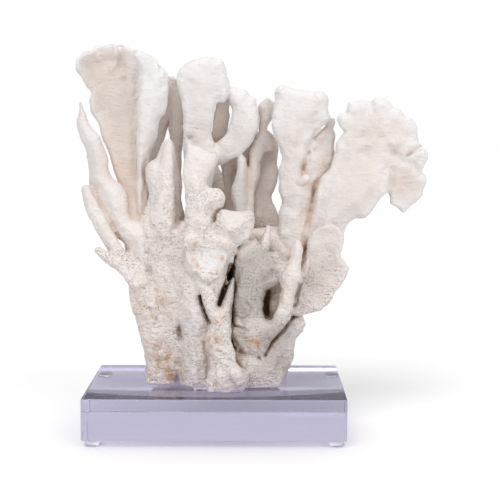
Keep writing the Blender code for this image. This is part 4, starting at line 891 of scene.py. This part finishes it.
def sculpt(mesh, fans):
    """Gives the skin its lumps, ribs, growth lines, pits and cuts, and returns its marks for the finish, the
    pits' mark holding the cuts' painted shade too.
    """
    points, normals = points_of(mesh), normals_of(mesh)
    rough = rough_share(points)
    rim = rim_share(points, fans)
    behind = ramp(points[:, 1], *BACK_DEPTHS)
    rise = field(points, SWELL_SIZE, 1.0) * SWELL_RISE
    rise += field(points, LUMP_SIZE, 2.0) * (LUMP_RISE + ROUGH_LUMP_RISE * rough)
    ridges = field(points, RIDGE_SIZE, 3.0, stretch=RIDGE_STRETCH) * RIDGE_RISE
    rise += rough * (ridges + field(points, GRAIN_SIZE, 4.0) * GRAIN_RISE)
    rise += rim * (np.abs(field(points, RIM_KNOB_SIZE, 5.0)) * RIM_KNOB_RISE - RIM_KNOB_SINK)
    ribs = field(points, BACK_RIB_SIZE, 8.0, stretch=BACK_RIB_STRETCH) * BACK_RIB_RISE
    rise += behind * (ribs + pit_field(points, BACK_KNOB_SIZE, 9.0) * BACK_KNOB_RISE)
    lines = np.sin(points[:, 2] * 2 * np.pi / LINE_PITCH + field(points, 16, 6.0) * 9)
    shown = 0.35 + 0.65 * ramp(field(points, 18, 7.0), -0.1, 0.4)
    rise += lines * (LINE_RISE + LINE_RISE * behind) * shown
    pits = pit_field(points, PIT_SIZE, 1.0) * rough
    rise -= pits * PIT_DEPTH
    points += normals * rise[:, None]
    cut_shade = carve(points, normals)
    set_points(mesh, points)
    return {"rough_part": rough, "rim": rim, "pit_and_cut_shade": np.maximum(pits, cut_shade)}


def drop_crumbs(shape):
    """Takes away the tiny closed bits that are left where blades cross."""
    left = set(shape.faces)
    while left:
        found = [left.pop()]
        for face in found:
            near = {other for edge in face.edges for other in edge.link_faces} & left
            left -= near
            found.extend(near)
        if len(found) < CRUMB_FACES:
            bmesh.ops.delete(shape, geom=found, context="FACES")


def cut_flat(mesh):
    """Cuts the coral off level, just above the block."""
    shape = bmesh.new()
    shape.from_mesh(mesh)
    drop_crumbs(shape)
    everything = shape.verts[:] + shape.edges[:] + shape.faces[:]
    down = (0, 0, -1)
    made = bmesh.ops.bisect_plane(shape, geom=everything, plane_co=(0, 0, REST_GAP * MM), plane_no=down,
                                  clear_outer=True)
    rim = [g for g in made["geom_cut"] if isinstance(g, bmesh.types.BMEdge)]
    if rim:
        bmesh.ops.triangle_fill(shape, edges=rim, use_beauty=True, normal=down)
    shape.to_mesh(mesh)
    shape.free()


def tree_of(meshes):
    """All of the skins together, for finding what lies near a point."""
    joined = bmesh.new()
    for mesh in meshes:
        joined.from_mesh(mesh)
    tree = BVHTree.FromBMesh(joined)
    joined.free()
    return tree


def sky_directions():
    """Directions spread evenly over a half sphere about +Z."""
    golden = math.pi * (3 - math.sqrt(5))
    rows = []
    for i in range(SKY_RAYS):
        height = LOWEST_RAY + (1 - LOWEST_RAY) * (i + 0.5) / SKY_RAYS
        around = math.sqrt(1 - height * height)
        rows.append(Vector((math.cos(golden * i) * around, math.sin(golden * i) * around, height)))
    return rows


def shut_in(start, turn, rays, tree):
    """How shut in a start above the skin is, or None where it lies inside another piece."""
    shut, inside = 0.0, 0
    for ray in rays:
        way = turn @ ray
        _, normal, _, distance = tree.ray_cast(start, way, RAY_REACH * MM)
        if distance is not None:
            shut += 1 - distance / (RAY_REACH * MM)
            inside += normal.dot(way) > 0
    return None if inside > len(rays) / 3 else shut / len(rays)


def recess_share(mesh, tree):
    """How shut in each point of the skin is: 0 in the open and 1 deep in a gap."""
    points = points_of(mesh)
    normals = normals_of(mesh)
    step = max(1, len(points) // RECESS_SAMPLES)
    picked = range(0, len(points), step)
    near = kdtree.KDTree(len(picked))
    values = []
    rays = sky_directions()
    for i in picked:
        normal = Vector(normals[i])
        turn = Vector((0, 0, 1)).rotation_difference(normal)
        value = shut_in(Vector(points[i] * MM) + normal * RAY_START * MM, turn, rays, tree)
        if value is not None:
            near.insert(points[i], len(values))
            values.append(value)
    near.balance()
    shares = np.empty(len(points))
    for i, p in enumerate(points.tolist()):
        found = near.find_n(p, NEAR_SAMPLES)
        weights = [1 / (SAMPLE_SOFTNESS + f[2]) for f in found]
        shares[i] = sum(w * values[f[1]] for w, f in zip(weights, found)) / sum(weights)
    return shares


def spot_share(points, spots):
    """How much the spots on the front cover each point."""
    drawn = as_drawn(points)
    share = np.zeros(len(points))
    for x, z, radius, strength in spots:
        far = np.hypot(drawn[:, 0] - x, drawn[:, 1] - z)
        share += strength * np.exp(-(far / radius) ** 2)
    return np.clip(share * (1 - ramp(points[:, 1], *SPOT_DEPTHS)), 0, 1)


def keep(mesh, name, values):
    """Stores one value for each point of the mesh, for the finish to read."""
    layer = mesh.attributes.new(name, "FLOAT", "POINT")
    layer.data.foreach_set("value", np.asarray(values, np.float32))


def grow_skin(growths, fans, seed):
    """A piece's finished skin in the drawing's frame, with its marks."""
    mesh = grown_skin(growths, seed)
    for mark, values in sculpt(mesh, fans).items():
        keep(mesh, mark, values)
    cut_flat(mesh)
    return mesh


def set_piece(name, mesh, replaced, tree, finish):
    """Marks the skin's shut-in and spotted parts and its painted shade further back, and sets it in its place
    on the block.
    """
    points = points_of(mesh)
    keep(mesh, "recess", recess_share(mesh, tree))
    for mark, spots in SPOTS:
        share = spot_share(points, spots)
        # The sandy mark also holds painted shade on what stands further back
        if mark == "sand_and_shade":
            share = np.maximum(share, BACK_SHADE * ramp(points[:, 1], *BACK_SHADE_DEPTHS))
        keep(mesh, mark, share)
    low, high = np.array(cad_box[0]) / MM, np.array(cad_box[1]) / MM
    set_points(mesh, np.clip(points + MIDDLE, low, high))
    mesh.name = name
    mesh.shade_smooth()
    mesh.materials.clear()
    mesh.materials.append(finish)
    piece = linked(name, mesh)
    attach(piece, "root")
    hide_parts(*replaced)


def add_node(tree, kind, values=None, **settings):
    """A shader node with its settings, its plain input values, and its inputs linked from other sockets."""
    made = tree.nodes.new(kind)
    for name, value in settings.items():
        setattr(made, name, value)
    for name, value in (values or {}).items():
        if isinstance(value, bpy.types.NodeSocket):
            tree.links.new(value, made.inputs[name])
        else:
            made.inputs[name].default_value = value
    return made


def mixed(tree, share, first, second, blend="MIX"):
    """One colour changing to another by a share."""
    mix = add_node(tree, "ShaderNodeMix", {0: share}, data_type="RGBA", blend_type=blend)
    for slot, colour in ((6, first), (7, second)):
        if isinstance(colour, bpy.types.NodeSocket):
            tree.links.new(colour, mix.inputs[slot])
        else:
            mix.inputs[slot].default_value = (*colour, 1.0)
    return mix.outputs[2]


def maths(tree, operation, a, b, clamp=False):
    return add_node(tree, "ShaderNodeMath", {0: a, 1: b}, operation=operation, use_clamp=clamp).outputs[0]


def times(tree, a, b, clamp=False):
    return maths(tree, "MULTIPLY", a, b, clamp)


def spread(tree, value, start, end, low=0.0, high=1.0):
    """The value's range from start to end stretched over low to high, and held there past its ends."""
    values = {0: value, 1: start, 2: end, 3: low, 4: high}
    return add_node(tree, "ShaderNodeMapRange", values, interpolation_type="SMOOTHSTEP").outputs[0]


def attribute(tree, name):
    return add_node(tree, "ShaderNodeAttribute", attribute_name=name).outputs["Fac"]


def noise_at(tree, place, size, detail=3.0, roughness=0.55):
    """Noise with lumps of this size in millimetres."""
    values = {"Vector": place, "Scale": 1000 / size, "Detail": detail, "Roughness": roughness}
    return add_node(tree, "ShaderNodeTexNoise", values).outputs["Fac"]


def cells_at(tree, place, size):
    """The distance to the nearest of points spaced about this many millimetres apart."""
    return add_node(tree, "ShaderNodeTexVoronoi", {"Vector": place, "Scale": 1000 / size}).outputs["Distance"]


def new_finish(name):
    """A new material, with its nodes and its main shader."""
    material = bpy.data.materials.new(name)
    material.use_nodes = True
    return material, material.node_tree, material.node_tree.nodes["Principled BSDF"]


def open_coral(tree, place, mark, ripples, patches):
    """The colour in the open: cream and chalk, white where raw and at the rims, with sandy and grey parts
    that are partly painted shade.
    """
    rough = mark["rough"]
    body = mixed(tree, spread(tree, patches, 0.35, 0.65), CREAM, CHALK)
    body = mixed(tree, times(tree, rough, 1.25, clamp=True), body, RAW_WHITE)
    # Sandy parts are partly sandy tone and partly painted shade, on troughs, folds and what stands further
    # back
    for name, strength, colour in (("rim", 0.8, TIP_WHITE), ("white", 0.8, TIP_WHITE), ("sand_and_shade", 0.6, SAND_AND_SHADE)):
        body = mixed(tree, times(tree, mark[name], strength), body, colour)
    # Grey where weathered, and painted shade on the crater's upper wall and the slats
    body = mixed(tree, times(tree, mark["grey"], spread(tree, patches, 0.1, 0.5)), body, WEATHERED_AND_SHADE_GREY)
    flecks = spread(tree, noise_at(tree, place, 1.0, detail=3.0, roughness=0.65), 0.42, 0.62)
    body = mixed(tree, times(tree, flecks, spread(tree, rough, 0.0, 1.0, 0.12, 0.24)), body, FLECK)
    lined = times(tree, spread(tree, ripples, 0.5, 0.66), spread(tree, rough, 0.0, 1.0, 0.1, 0.2))
    return mixed(tree, lined, body, FLECK)


def painted_gap_shade(tree, body, mark, patches):
    """Painted shade: sandy where the coral is shut in, more so on the smooth parts, and dark brown deep in
    the gaps, pits and deeper cuts.
    """
    # Painted shade in the sandy colour where the coral is shut in, more on the smooth parts
    shut = maths(tree, "ADD", mark["recess"], times(tree, patches, 0.12))
    smooth_more = spread(tree, mark["rough"], 0.0, 1.0, 0.12, 0.0)
    body = mixed(tree, spread(tree, maths(tree, "ADD", shut, smooth_more), 0.32, 0.85), body, SAND_AND_SHADE)
    # Painted shade in dark brown deep in the gaps, pits and deeper cuts
    deep = spread(tree, maths(tree, "ADD", mark["recess"], times(tree, mark["pit_and_cut_shade"], 0.35)), 0.6, 0.95)
    return mixed(tree, deep, body, GAP_SHADE_BROWN)


def worn_coral(tree, body, place, mark, pored):
    """Ochre stains, brown pores and grey specks."""
    blotches = noise_at(tree, place, 5.5, detail=4.0)
    body = mixed(tree, times(tree, mark["stain"], spread(tree, blotches, 0.3, 0.68)), body, OCHRE)
    body = mixed(tree, times(tree, pored, 0.4), body, PORE_BROWN)
    specks = spread(tree, noise_at(tree, place, 1.6, detail=2.0), 0.68, 0.78)
    return mixed(tree, times(tree, times(tree, specks, mark["rough"]), 0.5), body, SPECK_GREY)


def coral_relief(tree, place, rough, ripples, pored):
    """Fine grain, lumps and ripples, stronger where the coral is rough, with the pores sunk in."""
    grain = noise_at(tree, place, 1.0, detail=4.0, roughness=0.65)
    lumps = noise_at(tree, place, 2.6, detail=2.0)
    coarse = spread(tree, rough, 0.0, 1.0, 0.35, 1.0)
    height = maths(tree, "ADD", times(tree, grain, 0.7), times(tree, lumps, 0.5))
    height = maths(tree, "SUBTRACT", height, times(tree, ripples, 0.8))
    height = maths(tree, "SUBTRACT", times(tree, height, coarse), times(tree, pored, 0.7))
    values = {"Height": height, "Strength": 1.0, "Distance": RELIEF_HEIGHT}
    return add_node(tree, "ShaderNodeBump", values).outputs[0]


def bleached_coral():
    """Sun-bleached coral: cream at the rims, with painted shade in sandy brown in the gaps, porous and
    stained low down.
    """
    material, tree, shader = new_finish("bleached_coral")
    place = add_node(tree, "ShaderNodeTexCoord").outputs["Object"]
    names = ("recess", "stain", "grey", "sand_and_shade", "white", "pit_and_cut_shade", "rim")
    mark = {name: attribute(tree, name) for name in names}
    worn = spread(tree, mark["white"], 0.2, 1.0, 1.0, 0.3)
    mark["rough"] = times(tree, attribute(tree, "rough_part"), worn)

    rings = add_node(tree, "ShaderNodeMapping", {"Vector": place, "Scale": RIPPLE_SCALE}).outputs[0]
    ripples = noise_at(tree, rings, 2.6, detail=3.0, roughness=0.6)
    patches = noise_at(tree, place, 24, detail=5.0)
    pores = spread(tree, cells_at(tree, place, 1.25), 0.16, 0.36, 1.0, 0.0)
    wear = spread(tree, noise_at(tree, place, 9, detail=2.0), 0.42, 0.6)
    pored = times(tree, times(tree, pores, mark["rough"]), wear)

    body = open_coral(tree, place, mark, ripples, patches)
    body = painted_gap_shade(tree, body, mark, patches)
    body = worn_coral(tree, body, place, mark, pored)
    relief = coral_relief(tree, place, mark["rough"], ripples, pored)
    tree.links.new(body, shader.inputs["Base Color"])
    tree.links.new(relief, shader.inputs["Normal"])
    shader.inputs["Roughness"].default_value = CORAL_ROUGHNESS
    shader.inputs["Specular IOR Level"].default_value = CORAL_SHEEN_LEVEL
    return material


def clear_acrylic():
    """Polished cast acrylic with a faint lavender cast through its thickness.

    Shadows, diffuse light and rays turned many times pass straight through it, so that it stays clear.
    """
    material, tree, shader = new_finish("clear_acrylic")
    place = add_node(tree, "ShaderNodeTexCoord").outputs["Object"]
    tint = mixed(tree, noise_at(tree, place, 30, detail=3.0), ACRYLIC_CLEAR, ACRYLIC_FAINT)
    tree.links.new(tint, shader.inputs["Base Color"])
    shader.inputs["Roughness"].default_value = 0.0
    shader.inputs["Transmission Weight"].default_value = 1.0
    shader.inputs["IOR"].default_value = ACRYLIC_INDEX
    let_by = add_node(tree, "ShaderNodeBsdfTransparent", {"Color": (*ACRYLIC_SHADOW, 1.0)})
    path = add_node(tree, "ShaderNodeLightPath")
    passing = maths(tree, "MAXIMUM", path.outputs["Is Shadow Ray"], path.outputs["Is Diffuse Ray"])
    many = maths(tree, "GREATER_THAN", path.outputs["Ray Depth"], DEEP_RAY)
    passing = maths(tree, "MAXIMUM", passing, many)
    surface = add_node(tree, "ShaderNodeMixShader", {0: passing, 1: shader.outputs[0], 2: let_by.outputs[0]})
    output = tree.nodes["Material Output"]
    tree.links.new(surface.outputs[0], output.inputs["Surface"])
    values = {"Color": (*ACRYLIC_DEPTH, 1.0), "Density": ACRYLIC_DENSITY}
    thick = add_node(tree, "ShaderNodeVolumeAbsorption", values)
    tree.links.new(thick.outputs[0], output.inputs["Volume"])
    return material


def clear_rubber():
    """Soft clear polyurethane, a little cloudy."""
    material, tree, shader = new_finish("clear_rubber")
    place = add_node(tree, "ShaderNodeTexCoord").outputs["Object"]
    clouds = noise_at(tree, place, 3, detail=3.0)
    tree.links.new(mixed(tree, clouds, RUBBER_CLEAR, RUBBER_CLOUDY), shader.inputs["Base Color"])
    tree.links.new(spread(tree, clouds, 0.3, 0.7, 0.12, 0.24), shader.inputs["Roughness"])
    shader.inputs["Transmission Weight"].default_value = RUBBER_CLEARNESS
    shader.inputs["IOR"].default_value = RUBBER_INDEX
    return material


def smooth_piece(name, shape, node, finish):
    """A part of the stand, set in place of its node."""
    mesh = as_mesh(shape, name)
    mesh.shade_smooth()
    mesh.set_sharp_from_angle(angle=math.radians(SHARP_FROM))
    mesh.materials.append(finish)
    piece = linked(name, mesh)
    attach(piece, "root")
    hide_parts(node)


def make_block(finish):
    """The clear block, with its edges eased and polished."""
    low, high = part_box("clear_block")
    shape = bmesh.new()
    bmesh.ops.create_cube(shape, size=1.0)
    bmesh.ops.scale(shape, verts=shape.verts, vec=high - low)
    bmesh.ops.translate(shape, verts=shape.verts, vec=(high + low) / 2)
    bmesh.ops.bevel(shape, geom=shape.edges[:], offset=BLOCK_EDGE * MM, segments=BLOCK_EDGE_STEPS,
                    profile=0.5, affect="EDGES", material=-1)
    smooth_piece("acrylic_block", shape, "clear_block", finish)


def make_foot(node, finish):
    """A bumper foot turned from its profile, flat on top and narrower where it stands."""
    low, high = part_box(node)
    middle = (low + high) / 2
    radius, tall = (high.x - low.x) / 2, high.z - low.z
    shape = bmesh.new()
    verts = [shape.verts.new((middle.x + r * radius, middle.y, low.z + h * tall)) for r, h in FOOT_PROFILE]
    edges = [shape.edges.new((a, b)) for a, b in zip(verts, verts[1:])]
    bmesh.ops.spin(shape, geom=verts + edges, cent=(middle.x, middle.y, 0), axis=(0, 0, 1),
                   angle=math.tau, steps=FOOT_SIDES, use_merge=True)
    bmesh.ops.remove_doubles(shape, verts=shape.verts, dist=1e-6)
    bmesh.ops.recalc_face_normals(shape, faces=shape.faces)
    smooth_piece(node.replace("bumper_foot", "bumper"), shape, node, finish)


def studio_floor():
    """A wide pale floor that the stand rests on."""
    shape = bmesh.new()
    bmesh.ops.create_circle(shape, cap_ends=True, segments=64, radius=FLOOR_RADIUS)
    mesh = as_mesh(shape, "studio_floor")
    material, _, shader = new_finish("pale_floor")
    shader.inputs["Base Color"].default_value = (*FLOOR_WHITE, 1.0)
    shader.inputs["Roughness"].default_value = FLOOR_ROUGHNESS
    mesh.materials.append(material)
    linked("studio_floor", mesh)


def soft_light(name, around, height, spread_angle, strength):
    """A broad even light from this many degrees around from the front, and this high."""
    data = bpy.data.lights.new(name, "SUN")
    data.angle = math.radians(spread_angle)
    data.energy = strength
    lamp = linked(name, data)
    lamp.rotation_euler = (math.radians(90 - height), 0, math.radians(around))


def studio_light():
    """Soft daylight from three sides, before a backdrop that looks white directly and through the block."""
    bpy.context.scene.view_settings.view_transform = "Standard"
    world = bpy.data.worlds.new("studio")
    world.use_nodes = True
    tree = world.node_tree
    backdrop = tree.nodes["Background"]
    backdrop.inputs["Color"].default_value = (1.0, 1.0, 1.0, 1.0)
    path = add_node(tree, "ShaderNodeLightPath")
    seen = maths(tree, "MAXIMUM", path.outputs["Is Camera Ray"], path.outputs["Is Transmission Ray"])
    many = maths(tree, "GREATER_THAN", path.outputs["Ray Depth"], DEEP_RAY)
    many = times(tree, many, maths(tree, "SUBTRACT", 1.0, path.outputs["Is Diffuse Ray"]))
    seen = maths(tree, "MAXIMUM", seen, many)
    tree.links.new(spread(tree, seen, 0, 1, SKY_STRENGTH, 1.0), backdrop.inputs["Strength"])
    bpy.context.scene.world = world
    for lamp in LAMPS:
        soft_light(*lamp)


def photo_camera():
    """The camera at the photograph's eye, with its small tilt and shift."""
    data = bpy.data.cameras.new("camera")
    data.sensor_width = 36.0
    data.lens = LENS
    data.shift_x, data.shift_y = EYE_SHIFT_ACROSS, EYE_SHIFT
    camera = linked("camera", data)
    eye = (np.array((EYE_X, -EYE_DISTANCE, EYE_Z)) + MIDDLE) * MM
    tilt = Matrix.Rotation(math.radians(90 - EYE_PITCH), 4, "X")
    roll = Matrix.Rotation(math.radians(EYE_ROLL), 4, "Z")
    camera.matrix_world = Matrix.Translation(eye) @ tilt @ roll
    bpy.context.scene.camera = camera


def main():
    photo_camera()
    studio_light()
    studio_floor()
    coral = bleached_coral()
    skins = []
    for number, (name, growths, _) in enumerate(PIECES):
        together = [growth for branch in growths for growth in branch]
        skins.append(grow_skin(together, FANS.get(name, ()), 1.0 + PIECE_SEED_STEP * number))
    tree = tree_of(skins)
    for skin, (name, _, replaced) in zip(skins, PIECES):
        set_piece(name, skin, replaced, tree, coral)
    make_block(clear_acrylic())
    rubber = clear_rubber()
    for node in sorted(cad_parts):
        if node.startswith("bumper_foot"):
            make_foot(node, rubber)


main()
